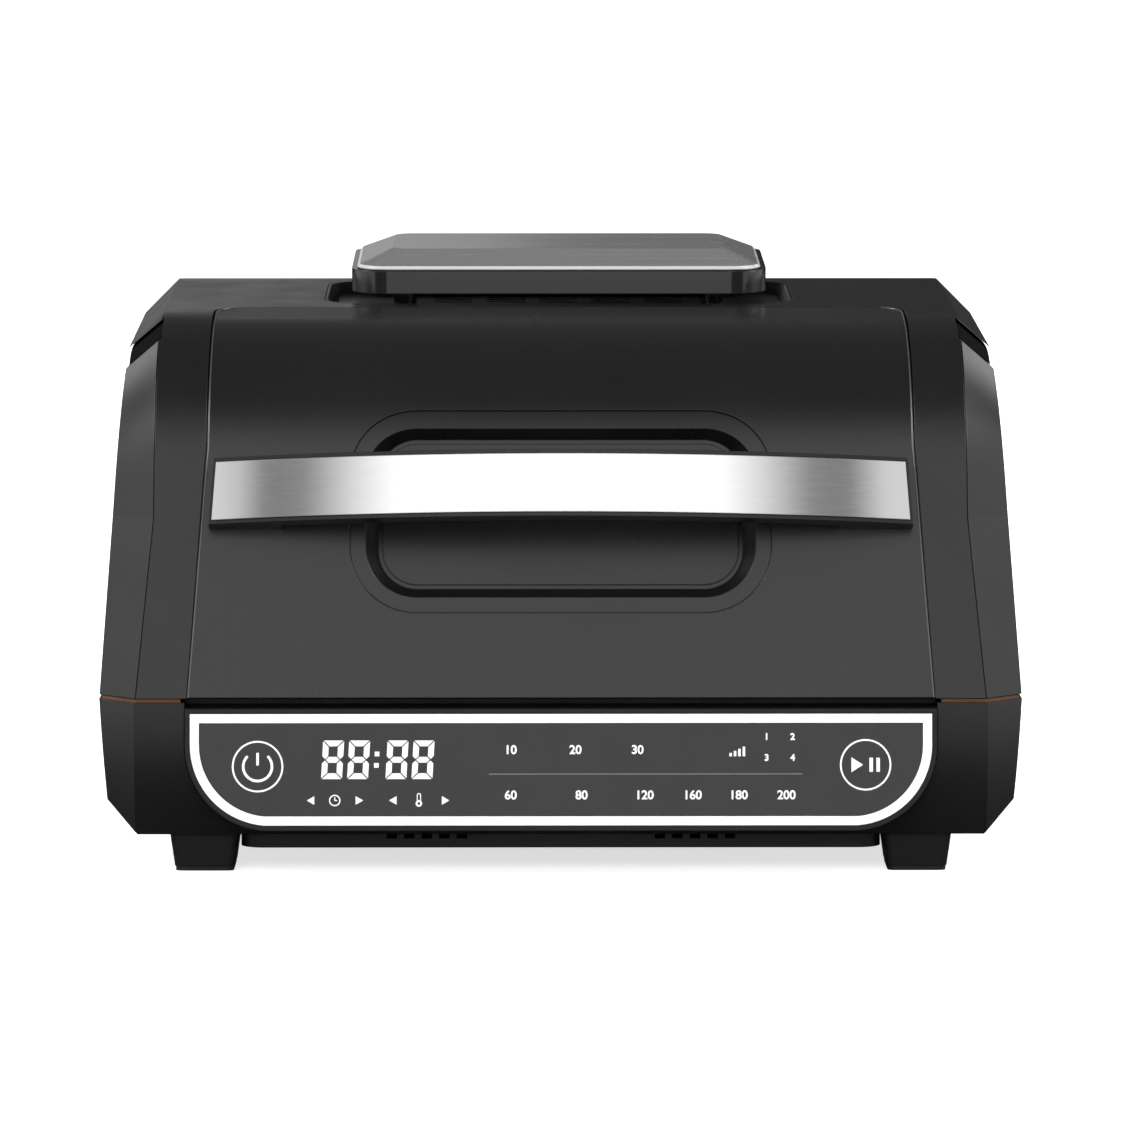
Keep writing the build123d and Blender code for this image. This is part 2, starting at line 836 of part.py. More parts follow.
with BuildPart() as panel_ring:
    add(console_block(ring_margin + inlay_gap, ring_bottom_margin + inlay_gap, -ring_depth, 0.0))
    add(
        console_block(ring_margin + ring_width, ring_bottom_margin + ring_width, -ring_depth - 1, 1.0),
        mode=Mode.SUBTRACT,
    )

glass_margin = ring_width + inlay_gap
with BuildPart() as touch_panel:
    add(
        console_block(
            ring_margin + glass_margin, ring_bottom_margin + glass_margin, -glass_depth, 0.0
        )
    )

with BuildPart() as control_board:
    with BuildSketch(console.offset(-board_setback - board_thickness)):
        with Locations((0, board_y)):
            Rectangle(board_width, board_height)
    extrude(amount=board_thickness)
    with BuildSketch(console.offset(-board_setback - board_thickness)):
        with Locations((-60.0, board_y), (-20.0, board_y + 4), (40.0, board_y), (90.0, board_y + 6)):
            Rectangle(14.0, 9.0)
    extrude(amount=-6.0)
    with BuildSketch(console.offset(-board_setback)):
        with Locations((110.0, board_y)):
            Circle(6.0)
    extrude(amount=6.0)

with BuildPart() as display_module:
    with BuildSketch(console.offset(-board_setback)):
        with Locations((display_x, board_y)):
            Rectangle(display_width, display_height)
    extrude(amount=board_setback - bezel_wall - fit_gap)

# Well: liner, lower heating element and its clips
with BuildPart() as base_liner:
    add(well_block(well_clearance + liner_thickness, well_floor_z, seam_z))
    add(well_block(liner_flange, seam_z, seam_z + liner_thickness))
    add(
        well_block(well_clearance, well_floor_z + liner_thickness, seam_z + 5),
        mode=Mode.SUBTRACT,
    )
    for x, y in ((-20.0, 100.0), (20.0, 50.0)):
        add(rod((x, cook_y + y, well_floor_z - 1), (0, 0, 1), 4.0, tube_radius + 0.8), mode=Mode.SUBTRACT)


def heating_tube(points, radii):
    """Heating tube along straight runs joined by arcs."""
    with BuildPart() as tube:
        with BuildLine() as path:
            FilletPolyline(*points, radius=radii)
        start = path.line
        with BuildSketch(Plane(origin=start @ 0, z_dir=start % 0)):
            Circle(tube_radius)
        sweep()
    return tube.part


def tube_clip(x, y, z, end_z):
    """Strap round a tube that runs along Y, with a stem that ends on a sheet at end_z."""
    ring = tube_radius + clip_gap + clip_wall
    stem_far = end_z - z
    with BuildPart() as clip:
        with BuildSketch(Plane.XZ.offset(-y - clip_width / 2)):
            with Locations((x, z)):
                Circle(ring)
            with Locations((x, z + stem_far / 2)):
                Rectangle(2 * clip_wall, abs(stem_far))
            with Locations((x, z)):
                Circle(tube_radius + clip_gap, mode=Mode.SUBTRACT)
        extrude(amount=clip_width)
    return clip.part


lower_run = [
    (-20, 100, well_floor_z - 6.0 - lower_tube_z),
    (-20, 100, 0),
    (-120, 100, 0),
    (-120, -95, 0),
    (120, -95, 0),
    (120, 100, 0),
    (70, 100, 0),
    (70, -50, 0),
    (-70, -50, 0),
    (-70, 50, 0),
    (20, 50, 0),
    (20, 50, well_floor_z - 6.0 - lower_tube_z),
]
lower_radii = [lower_tube_bend, 40, 40, 40, 26, 20, 35, 35, 35, lower_tube_bend]
lower_heating_element = heating_tube(
    [(x, cook_y + y, lower_tube_z + z) for x, y, z in lower_run], lower_radii
)
lower_element_clips = group(
    tube_clip(x, cook_y + y, lower_tube_z, well_floor_z + liner_thickness)
    for x, y in ((-120, 0), (120, 0), (-70, 0), (70, 20))
)

# Cooking pot, carried by its rim on the liner's flange
pot_rim_z = seam_z + liner_thickness + fit_gap
with BuildPart() as cooking_pot:
    add(well_block(0.0, pot_floor_z, pot_rim_z + pot_rim_thickness))
    fillet(cooking_pot.faces().sort_by(Axis.Z)[0].edges(), pot_floor_radius)
    add(well_block(pot_rim_width, pot_rim_z, pot_rim_z + pot_rim_thickness))
    add(well_block(-pot_wall, pot_floor_z + pot_wall, pot_rim_z + 10), mode=Mode.SUBTRACT)

# Grill plate on four feet in the pot, with ridges and drain slots between them
grill_x = pot_half_width - pot_wall - grill_margin
grill_y = pot_half_depth - pot_wall - grill_margin
grill_low_z = pot_floor_z + pot_wall + grill_foot_height
grill_inset = -pot_wall - grill_margin
ridge_count = int(2 * (grill_x - ridge_side_margin) / ridge_pitch) + 1
with BuildPart() as grill_plate:
    add(well_block(grill_inset, grill_low_z, grill_low_z + grill_thickness + grill_rim_height))
    add(
        well_block(grill_inset - grill_rim_width, grill_low_z + grill_thickness, grill_low_z + 20),
        mode=Mode.SUBTRACT,
    )
    with BuildSketch(Plane.XY.offset(grill_low_z + grill_thickness)):
        with Locations((0, cook_y)):
            with GridLocations(ridge_pitch, 1, ridge_count, 1):
                Rectangle(ridge_width, 2 * (grill_y - ridge_end_margin))
    extrude(amount=ridge_height, taper=14)
    with BuildSketch(Plane.XY.offset(grill_low_z - 1)):
        with Locations((0, cook_y)):
            with GridLocations(ridge_pitch, 1.6 * drain_length, ridge_count - 1, 3):
                SlotOverall(drain_length, drain_width, rotation=90)
    extrude(amount=grill_thickness + 2, mode=Mode.SUBTRACT)
    with BuildSketch(Plane.XY.offset(pot_floor_z + pot_wall + fit_gap)):
        with Locations((0, cook_y)):
            with GridLocations(2 * (grill_x - 26.0), 2 * (grill_y - 26.0), 2, 2):
                Circle(grill_foot_radius)
    extrude(until=Until.NEXT)

# Gasket in the seam beside and behind the control panel
with BuildPart() as rim_gasket:
    for inset, mode in ((gasket_inset, Mode.ADD), (gasket_inset + gasket_width, Mode.SUBTRACT)):
        with BuildSketch(Plane.XY.offset(seam_z)):
            half = corner_half(seam_z, inset)
            Polygon(*plan_points(half, front_y + inset, rear_y - inset), align=None)
            Rectangle(body_width - 2 * inset, 2 * body_depth, mode=Mode.INTERSECT)
        extrude(amount=hood_bottom_z - seam_z - fit_gap, mode=mode)
    with BuildSketch(Plane.XY.offset(seam_z)):
        with Locations((0, front_y)):
            Rectangle(2 * (console_half + 2.0), 40.0)
    extrude(amount=5.0, mode=Mode.SUBTRACT)

# Power board and cord grommet on the rear wall of the base
with BuildPart() as power_board:
    wall_y = rear_y - base_wall
    with BuildSketch(Plane.XZ.offset(-wall_y)):
        with Locations((power_x, power_z)):
            with GridLocations(
                power_width - 2 * standoff_margin, power_height - 2 * standoff_margin, 2, 2
            ):
                Circle(standoff_radius)
    extrude(amount=power_standoff)
    with BuildSketch(Plane.XZ.offset(-wall_y + power_standoff)):
        with Locations((power_x, power_z)):
            Rectangle(power_width, power_height)
    extrude(amount=board_thickness)
    with BuildSketch(Plane.XZ.offset(-wall_y + power_standoff + board_thickness)):
        with Locations((power_x - 40, power_z), (power_x - 14, power_z + 4), (power_x + 36, power_z)):
            Rectangle(16.0, 20.0)
        with Locations((power_x + 12, power_z)):
            Circle(7.0)
    extrude(amount=14.0)

with BuildPart() as cord_grommet:
    for start, length, radius in (
        (0.0, base_wall, grommet_neck_radius + grommet_flange),
        (-base_wall, base_wall, grommet_neck_radius),
        (-2 * base_wall, base_wall, grommet_neck_radius + grommet_flange - 1.0),
    ):
        add(rod((grommet_x, rear_y + start, grommet_z), (0, 1, 0), length, radius))
    add(
        rod((grommet_x, rear_y - 3 * base_wall, grommet_z), (0, 1, 0), 5 * base_wall, grommet_bore),
        mode=Mode.SUBTRACT,
    )

# Hinge brackets: two ears, a foot on the rear wall and a stop bar for the open hood
open_angle = radians(hinge_open)
stop_z = (
    hinge_stop_back * cos(open_angle) + hinge_back - hinge_stop_radius - fit_gap
) / sin(open_angle)
bracket_half = hinge_lug_width / 2 + hinge_side_gap + hinge_ear_width


def hinge_bracket(x):
    """Bracket on the base with its ears either side of x."""
    foot_high = seam_z - bracket_top_margin
    with BuildPart() as bracket:
        for side in (-1, 1):
            inner = x + side * (hinge_lug_width / 2 + hinge_side_gap)
            start = min(inner, inner + side * hinge_ear_width)
            with BuildSketch(Plane.YZ.offset(start)):
                with Locations((hinge_y, hinge_z)):
                    Circle(hinge_knuckle_radius)
                with Locations((rear_y + hinge_plate - 0.5, bracket_low_z + 0.5)):
                    Circle(0.5)
                make_hull()
                with BuildSketch(mode=Mode.PRIVATE) as horn:
                    with Locations((hinge_y, hinge_z)):
                        Circle(hinge_knuckle_radius - 1)
                    with Locations((hinge_y + hinge_stop_back, hinge_z + stop_z)):
                        Circle(hinge_stop_radius)
                    make_hull()
                add(horn.sketch)
            extrude(amount=hinge_ear_width)
        stop_place = (x - bracket_half, hinge_y + hinge_stop_back, hinge_z + stop_z)
        add(rod(stop_place, (1, 0, 0), 2 * bracket_half, hinge_stop_radius))
        with BuildSketch(Plane.XZ.offset(-rear_y)):
            with Locations((x, (bracket_low_z + foot_high) / 2)):
                RectangleRounded(2 * bracket_half, foot_high - bracket_low_z, 3.0)
        extrude(amount=-hinge_plate)
        add(
            rod((x - 40, hinge_y, hinge_z), (1, 0, 0), 80.0, hinge_pin_radius + hinge_pin_gap),
            mode=Mode.SUBTRACT,
        )
        for place in bracket_screw_places:
            add(screw_hole(place, (0, -1, 0), bracket_screw_length), mode=Mode.SUBTRACT)
    return bracket.part


def hinge_arm(x):
    """Knuckle on the hood's rear wall that turns on the pin."""
    with BuildPart() as arm:
        with BuildSketch(Plane.YZ.offset(x - hinge_lug_width / 2)):
            with Locations((hinge_y, hinge_z)):
                Circle(hinge_knuckle_radius)
            with Locations(((rear_y + hinge_y) / 2, hinge_z)):
                Rectangle(hinge_back, 2 * hinge_knuckle_radius)
        extrude(amount=hinge_lug_width)
        add(
            rod((x - 40, hinge_y, hinge_z), (1, 0, 0), 80.0, hinge_pin_radius + hinge_pin_gap),
            mode=Mode.SUBTRACT,
        )
        for place in arm_screw_places:
            add(screw_hole(place, (0, 1, 0), arm_screw_length), mode=Mode.SUBTRACT)
    return arm.part


hinge_pins = group(
    rod((side * hinge_x - bracket_half, hinge_y, hinge_z), (1, 0, 0), 2 * bracket_half, hinge_pin_radius)
    for side in (-1, 1)
)

# Hood frame: a shell with recesses for its panels, side slots and openings
let_in = hood_form(skin_thickness + fit_gap, hood_bottom_z - 10)
panel_let_in = hood_form(skin_thickness + fit_gap, hood_bottom_z - 10, dipped=True)
with BuildPart() as lid_frame:
    add(hood_form(0.0))
    add(hood_form(hood_wall, hood_bottom_z - 5, dipped=True), mode=Mode.SUBTRACT)
    add(panel_zone(panel_gap, hood_bottom_z - 5) - panel_let_in, mode=Mode.SUBTRACT)
    for side in (-1, 1):
        add(side_zone(side, fit_gap, fit_gap) - let_in, mode=Mode.SUBTRACT)
        add(slot_zone(side, 0.0), mode=Mode.SUBTRACT)
    mouth = pocket_half + pocket_flare + pocket_wall + fit_gap
    mouth_height = pocket_half_height + pocket_flare + pocket_wall + fit_gap
    add(face_prism(mouth, mouth_height, pocket_corner_radius + pocket_flare, -30, 10), mode=Mode.SUBTRACT)
    with BuildSketch(crown_plane(scoop_y).offset(-20)):
        RectangleRounded(
            2 * (scoop_half_width + fit_gap), 2 * (scoop_half_depth + fit_gap), scoop_corner_radius
        )
    extrude(amount=40, mode=Mode.SUBTRACT)
    with BuildSketch(Plane.XZ.offset(-rear_y - 10)):
        with Locations((0, (grille_low_z + grille_high_z) / 2)):
            RectangleRounded(2 * grille_half, grille_high_z - grille_low_z, grille_corner_radius)
    extrude(amount=20, mode=Mode.SUBTRACT)
    for place in handle_screw_places:
        add(screw_hole(place, face_out, handle_screw_length), mode=Mode.SUBTRACT)
    for place in arm_screw_places:
        add(screw_hole(place, (0, 1, 0), arm_screw_length), mode=Mode.SUBTRACT)

# Front panel, side panels and the louvres behind the side slots
hood_skin = hood_form(0.0) - hood_form(skin_thickness, hood_bottom_z - 10)
panel_back = hood_form(skin_thickness, hood_bottom_z - 10, dipped=True)
land_half = pocket_half + pocket_flare + pocket_land
land_height = pocket_half_height + pocket_flare + pocket_land
land_radius = pocket_corner_radius + pocket_flare + pocket_land
with BuildPart() as front_panel:
    add(hood_form(0.0, dipped=True) - panel_back)
    add(panel_zone(0.0, panel_bottom_z), mode=Mode.INTERSECT)
    add(
        face_prism(land_half + inlay_gap, land_height + inlay_gap, land_radius, -30, 10),
        mode=Mode.SUBTRACT,
    )
    for place in handle_screw_places:
        add(screw_hole(place, face_out, handle_screw_length), mode=Mode.SUBTRACT)

side_panels, side_vents = {}, {}
vent_core = hood_form(hood_wall + fit_gap + vent_thickness, hood_bottom_z - 10, dipped=True)
vent_skin = hood_form(hood_wall + fit_gap, dipped=True) - vent_core
vent_fill = hood_form(vent_recess) - vent_core
vent_slit_z = slot_low_z + slot_height / 2 - (cap_half - corner_half_top) * slot_slope
vent_slit_room = rear_y - slot_rear_margin - vent_rear_land - vent_slit_start_y
vent_slit_count = int(vent_slit_room / vent_slit_pitch) + 1
vent_slit_middle_y = vent_slit_start_y + vent_slit_pitch * (vent_slit_count - 1) / 2
for side, name in ((-1, "left"), (1, "right")):
    with BuildPart() as side_panel:
        add(hood_skin)
        add(side_zone(side, 0.0, 0.0), mode=Mode.INTERSECT)
    with BuildPart() as side_vent:
        add(vent_skin)
        add(slot_zone(side, vent_lap), mode=Mode.INTERSECT)
        add(vent_fill & slot_zone(side, -fit_gap))
        with BuildSketch(Plane.YZ):
            with Locations((vent_slit_middle_y, vent_slit_z)):
                with GridLocations(vent_slit_pitch, 1, vent_slit_count, 1):
                    Rectangle(vent_slit_width, slot_height - 2 * vent_slit_land)
        extrude(amount=side * reach, mode=Mode.SUBTRACT)
    side_panels[f"side_panel_{name}"] = side_panel.part
    side_vents[f"side_vent_{name}"] = side_vent.part

# Finger pocket: a tapered tray whose flange is let into the front panel
with BuildPart() as finger_pocket:
    add(face_prism(land_half, land_height, land_radius, -30, 10))
    pocket_front = hood_form(pocket_land_depth, dipped=True)
    add(pocket_front, mode=Mode.INTERSECT)
    add(panel_back, mode=Mode.SUBTRACT)
    rim = pocket_half + pocket_flare
    rim_height = pocket_half_height + pocket_flare
    rim_radius = pocket_corner_radius + pocket_flare
    tray = face_prism(
        rim + pocket_wall, rim_height + pocket_wall, rim_radius, -pocket_depth - pocket_wall, 10
    )
    add(tray & pocket_front)
    with BuildSketch(face.offset(-pocket_depth)):
        with Locations((0, up_face(pocket_z))):
            RectangleRounded(2 * pocket_half, 2 * pocket_half_height, pocket_corner_radius)
    with BuildSketch(face):
        with Locations((0, up_face(pocket_z))):
            RectangleRounded(2 * rim, 2 * rim_height, rim_radius)
    loft(ruled=True, mode=Mode.SUBTRACT)
    with BuildSketch(face.offset(-pocket_depth)):
        with Locations((0, up_face(pocket_z))):
            RectangleRounded(2 * pocket_half, 2 * pocket_half_height, pocket_corner_radius)
            RectangleRounded(
                2 * (pocket_half - pocket_groove_width),
                2 * (pocket_half_height - pocket_groove_width),
                pocket_corner_radius - pocket_groove_width,
                mode=Mode.SUBTRACT,
            )
    extrude(amount=-pocket_groove_depth, mode=Mode.SUBTRACT)

# Handle: a bowed bar on two feet, with a bright strip let into its face
handle_span = panel_half(hood_bottom_z)
bow = handle_mid_reach - handle_end_reach
bow_radius = (handle_span**2 + bow**2) / (2 * bow)
handle_down = (0, -sin(lean), -cos(lean))


def handle_block(height, outer_shift, inner_shift, margin, footed=False):
    """Bowed band over the face, its surfaces shifted outwards from the bar's front."""
    top = face.from_local_coords(Vector(0, up_face(handle_z) + height / 2, 0))
    with BuildPart() as band:
        with BuildSketch(Plane(origin=top, x_dir=(1, 0, 0), z_dir=handle_down)):
            with Locations((0, handle_mid_reach - bow_radius)):
                Circle(bow_radius + inner_shift)
            with BuildSketch(mode=Mode.PRIVATE) as foot_blocks:
                with Locations((0, handle_mid_reach / 2 - 2)):
                    with GridLocations(2 * handle_foot_x, 1, 2, 1):
                        Rectangle(handle_foot_length + 2 * handle_side_margin, handle_mid_reach)
            with BuildSketch(mode=Mode.PRIVATE) as bar:
                with Locations((0, handle_mid_reach - bow_radius)):
                    Circle(bow_radius + outer_shift)
                    Circle(bow_radius + inner_shift, mode=Mode.SUBTRACT)
                with Locations((0, handle_mid_reach / 2)):
                    Rectangle(2 * handle_span, 2 * handle_mid_reach, mode=Mode.INTERSECT)
            if footed:
                add(foot_blocks.sketch, mode=Mode.INTERSECT)
            else:
                add(bar.sketch, mode=Mode.REPLACE)
            if footed:
                add(bar.sketch)
        extrude(amount=height)
        add(panel_zone(-handle_side_margin - margin, hood_bottom_z), mode=Mode.INTERSECT)
    return band.part


with BuildPart() as handle_bar:
    add(handle_block(handle_height, 0.0, -handle_thickness, 0.0, footed=True))
    add(hood_form(-fit_gap, dipped=True), mode=Mode.SUBTRACT)
    add(
        handle_block(
            trim_height + 2 * inlay_gap, 5.0, -trim_inlay - inlay_gap, trim_end_margin - inlay_gap
        ),
        mode=Mode.SUBTRACT,
    )
    for place in handle_screw_places:
        add(screw_hole(place, face_out, handle_screw_length), mode=Mode.SUBTRACT)

handle_trim = handle_block(trim_height, trim_thickness - trim_inlay, -trim_inlay, trim_end_margin)

# Intake tray let into the crown, under the vent tower
scoop = crown_plane(scoop_y)
with BuildPart() as intake_tray:
    with BuildSketch(scoop.offset(-scoop_depth - scoop_thickness)):
        RectangleRounded(2 * scoop_half_width, 2 * scoop_half_depth, scoop_corner_radius)
    extrude(amount=scoop_depth + scoop_thickness)
    with BuildSketch(scoop.offset(-hood_wall - fit_gap - scoop_thickness)):
        RectangleRounded(
            2 * (scoop_half_width + scoop_flange),
            2 * (scoop_half_depth + scoop_flange),
            scoop_corner_radius + scoop_flange,
        )
    extrude(amount=scoop_thickness)
    with BuildSketch(scoop):
        RectangleRounded(
            2 * (scoop_half_width - scoop_thickness / 2),
            2 * (scoop_half_depth - scoop_thickness / 2),
            scoop_corner_radius,
        )
    with BuildSketch(scoop.offset(-scoop_depth)):
        RectangleRounded(
            2 * (scoop_half_width - scoop_taper),
            2 * (scoop_half_depth - scoop_taper),
            scoop_corner_radius - scoop_thickness,
        )
    loft(ruled=True, mode=Mode.SUBTRACT)
    with BuildSketch(scoop):
        with GridLocations(intake_slot_length + 6.0, 2.2 * intake_slot_width, 5, 6):
            SlotOverall(intake_slot_length, intake_slot_width)
    extrude(amount=-20.0, mode=Mode.SUBTRACT)
    for place in tower_screw_places:
        add(screw_hole(place, crown_up, tower_screw_length), mode=Mode.SUBTRACT)

# Vent tower: a wall ring with a floor and four legs, and its metal top plate
tower_top = tower_lift + tower_wall_height
with BuildPart() as tower_shell:
    with BuildSketch(crown.offset(tower_lift)):
        RectangleRounded(2 * tower_half_width, 2 * tower_half_depth, tower_corner_radius)
    extrude(amount=tower_wall_height)
    with BuildSketch(crown.offset(tower_lift + tower_wall)):
        RectangleRounded(
            2 * (tower_half_width - tower_wall),
            2 * (tower_half_depth - tower_wall),
            tower_corner_radius - tower_wall,
        )
    extrude(amount=tower_wall_height, mode=Mode.SUBTRACT)
    with BuildSketch(crown.offset(-scoop_depth)):
        with Locations(*leg_places):
            Circle(tower_leg_radius)
    extrude(amount=tower_lift + scoop_depth + 3.0)
    for place in tower_screw_places:
        add(screw_hole(place, crown_up, tower_screw_length), mode=Mode.SUBTRACT)

with BuildPart() as top_plate:
    rim_low = tower_top + fit_gap
    rim_high = rim_low + plate_rim_height
    with BuildSketch(crown.offset(rim_low)):
        RectangleRounded(
            2 * (tower_half_width - plate_inset),
            2 * (tower_half_depth - plate_inset),
            tower_corner_radius - plate_inset,
        )
    extrude(amount=plate_rim_height)
    rim_face = top_plate.faces().sort_by(Axis(crown.origin, crown.z_dir))[-1]
    chamfer(rim_face.edges(), plate_rim_chamfer)
    edge_inset = plate_inset + plate_rim_chamfer
    for more, high, radius in (
        (edge_inset, rim_high, tower_corner_radius - edge_inset),
        (plate_bevel_width, rim_high + plate_bevel_height, plate_top_radius),
    ):
        with BuildSketch(crown.offset(high)):
            RectangleRounded(2 * (tower_half_width - more), 2 * (tower_half_depth - more), radius)
    loft(ruled=True)
    for more, high, radius in (
        (tower_wall + plate_wall, rim_low, tower_corner_radius - tower_wall - plate_wall),
        (
            plate_bevel_width + plate_wall,
            rim_high + plate_bevel_height - plate_wall,
            plate_top_radius - plate_wall,
        ),
    ):
        with BuildSketch(crown.offset(high)):
            RectangleRounded(2 * (tower_half_width - more), 2 * (tower_half_depth - more), radius)
    loft(ruled=True, mode=Mode.SUBTRACT)

# Outlet grille in the rear wall of the hood
with BuildPart() as rear_grille:
    grille_z = (grille_low_z + grille_high_z) / 2
    grille_height = grille_high_z - grille_low_z
    with BuildSketch(Plane.XZ.offset(-rear_y + grille_recess)):
        with Locations((0, grille_z)):
            RectangleRounded(
                2 * (grille_half - fit_gap), grille_height - 2 * fit_gap, grille_corner_radius
            )
    extrude(amount=hood_wall + fit_gap - grille_recess)
    with BuildSketch(Plane.XZ.offset(-rear_y + hood_wall + fit_gap)):
        with Locations((0, grille_z)):
            RectangleRounded(
                2 * (grille_half + grille_flange),
                grille_height + 2 * grille_flange,
                grille_corner_radius + grille_flange,
            )
    extrude(amount=grille_flange_thickness)
    with BuildSketch(Plane.XZ.offset(-rear_y - 5)):
        with Locations((0, grille_z)):
            with GridLocations(36.0, 7.0, 4, 4):
                SlotOverall(30.0, 3.4)
    extrude(amount=20.0, mode=Mode.SUBTRACT)

# Hood liner: a dome over the pot with a flange that closes the hood from below
def dome_block(inset, roof_z, low_z):
    """Tapered dome with its walls moved in by inset."""
    levels = (
        (low_z, dome_low_half, dome_low_front_y, dome_low_rear_y),
        (roof_z, dome_high_half, dome_high_front_y, dome_high_rear_y),
    )
    with BuildPart() as dome:
        for z, half, front, rear in levels:
            with BuildSketch(Plane.XY.offset(z)):
                with Locations((0, (front + rear) / 2)):
                    RectangleRounded(
                        2 * (half - inset), rear - front - 2 * inset, dome_corner_radius - inset
                    )
        loft(ruled=True)
    return dome.part


with BuildPart() as lid_liner:
    add(hood_form(hood_wall + fit_gap, dome_bottom_z))
    with BuildSketch(Plane.XY.offset(dome_bottom_z)):
        Rectangle(2 * body_width, 2 * body_depth)
    extrude(amount=liner_thickness, mode=Mode.INTERSECT)
    add(dome_block(0.0, dome_roof_z, dome_bottom_z))
    add(dome_block(liner_thickness, dome_roof_z - liner_thickness, dome_bottom_z), mode=Mode.SUBTRACT)
    add(rod((0, cook_y, dome_roof_z - 5), (0, 0, 1), 10.0, hub_radius), mode=Mode.SUBTRACT)
    for x, y in ((-14.0, 84.0), (-14.0, 56.0)):
        add(rod((x, cook_y + y, dome_roof_z - 5), (0, 0, 1), 10.0, tube_radius + 0.8), mode=Mode.SUBTRACT)
    probe_y, probe_z = cook_y + 30.0, 151.0
    add(rod((-dome_low_half, probe_y, probe_z), (1, 0, 0), 40.0, 2.5 + fit_gap), mode=Mode.SUBTRACT)

probe_wall_x = -dome_low_half + (dome_low_half - dome_high_half) * (probe_z - dome_bottom_z) / (
    dome_roof_z - dome_bottom_z
)
temperature_probe = group(
    [
        rod((probe_wall_x - 6.0, probe_y, probe_z), (1, 0, 0), 36.0, 2.5)
        + rod((probe_wall_x - 6.0, probe_y, probe_z), (1, 0, 0), 4.0, 5.0)
    ]
)

upper_run = [
    (-14, 84, dome_roof_z + 4.0 - upper_tube_z),
    (-14, 84, 0),
    (-104, 84, 0),
    (-104, -84, 0),
    (104, -84, 0),
    (104, 84, 0),
    (22, 84, 0),
    (22, 56, 0),
    (76, 56, 0),
    (76, -56, 0),
    (-76, -56, 0),
    (-76, 56, 0),
    (-14, 56, 0),
    (-14, 56, dome_roof_z + 4.0 - upper_tube_z),
]
upper_radii = [tube_bend, 40, 40, 40, 40, 13, 13, 30, 30, 30, 30, tube_bend]
upper_heating_element = heating_tube(
    [(x, cook_y + y, upper_tube_z + z) for x, y, z in upper_run], upper_radii
)
upper_element_clips = group(
    tube_clip(x, cook_y, upper_tube_z, dome_roof_z - liner_thickness) for x in (-104, 104, -76, 76)
)

# Guard under the fan and the upper heating element
guard_slot_count = int(2 * (guard_half_width - guard_side_land) / guard_slot_pitch) + 1
with BuildPart() as element_guard:
    with BuildSketch(Plane.XY.offset(guard_z)):
        with Locations((0, cook_y)):
            RectangleRounded(2 * guard_half_width, 2 * guard_half_depth, 20.0)
            with GridLocations(guard_slot_pitch, guard_slot_length + 12.0, guard_slot_count, 2):
                SlotOverall(guard_slot_length, guard_slot_width, rotation=90, mode=Mode.SUBTRACT)
    extrude(amount=guard_thickness)
    with BuildSketch(Plane.XY.offset(guard_z + guard_thickness)):
        with Locations((0, cook_y)):
            with GridLocations(2 * (guard_half_width - 6.0), guard_half_depth * 1.2, 2, 2):
                Circle(guard_post_radius)
    extrude(amount=dome_roof_z - liner_thickness - guard_z - guard_thickness)

# Heat shield and motor plate on the roof of the dome
shield_z = dome_roof_z + shield_lift
with BuildPart() as heat_shield:
    with BuildSketch(Plane.XY.offset(shield_z)):
        with Locations((0, cook_y)):
            RectangleRounded(2 * shield_half, 2 * (shield_half - 14.0), 12.0)
            Circle(hub_radius + 4.0, mode=Mode.SUBTRACT)
    extrude(amount=shield_thickness)
    with BuildSketch(Plane.XY.offset(dome_roof_z)):
        with Locations((0, cook_y)):
            with GridLocations(2 * (shield_half - 14.0), 2 * (shield_half - 34.0), 2, 2):
                Circle(5.0)
    extrude(amount=shield_lift)

motor_plate_z = shield_z + shield_thickness + motor_lift
with BuildPart() as motor_bracket:
    with BuildSketch(Plane.XY.offset(motor_plate_z)):
        with Locations((0, cook_y)):
            RectangleRounded(92.0, 92.0, 10.0)
            Circle(hub_radius, mode=Mode.SUBTRACT)
            with PolarLocations(26.0, 4):
                Circle(6.0, mode=Mode.SUBTRACT)
    extrude(amount=motor_plate_thickness)
    with BuildSketch(Plane.XY.offset(shield_z + shield_thickness)):
        with Locations((0, cook_y)):
            with GridLocations(76.0, 76.0, 2, 2):
                Circle(4.0)
    extrude(amount=motor_lift)

motor_z = motor_plate_z + motor_plate_thickness
with BuildPart() as fan_motor:
    with BuildSketch(Plane.XY.offset(motor_z)):
        with Locations((0, cook_y)):
            Circle(motor_radius)
    extrude(amount=motor_height)
    chamfer(fan_motor.edges().filter_by(GeomType.CIRCLE), 4.0)
    with BuildSketch(Plane.XY.offset(motor_z + 6.0)):
        with Locations((0, cook_y)):
            Rectangle(2 * motor_radius + 8.0, 30.0)
    extrude(amount=motor_height - 12.0)
    add(
        rod((0, cook_y, motor_z - 1), (0, 0, 1), motor_height + 2, shaft_radius + shaft_clearance),
        mode=Mode.SUBTRACT,
    )

# Fan assembly that turns in the motor
cooling_fan_z = motor_z + motor_height + cooling_fan_gap
shaft_low_z = hot_fan_z - nut_height - 1.0
shaft_high_z = cooling_fan_z + cooling_fan_height + 1.0
fan_shaft = group([rod((0, cook_y, shaft_low_z), (0, 0, 1), shaft_high_z - shaft_low_z, shaft_radius)])


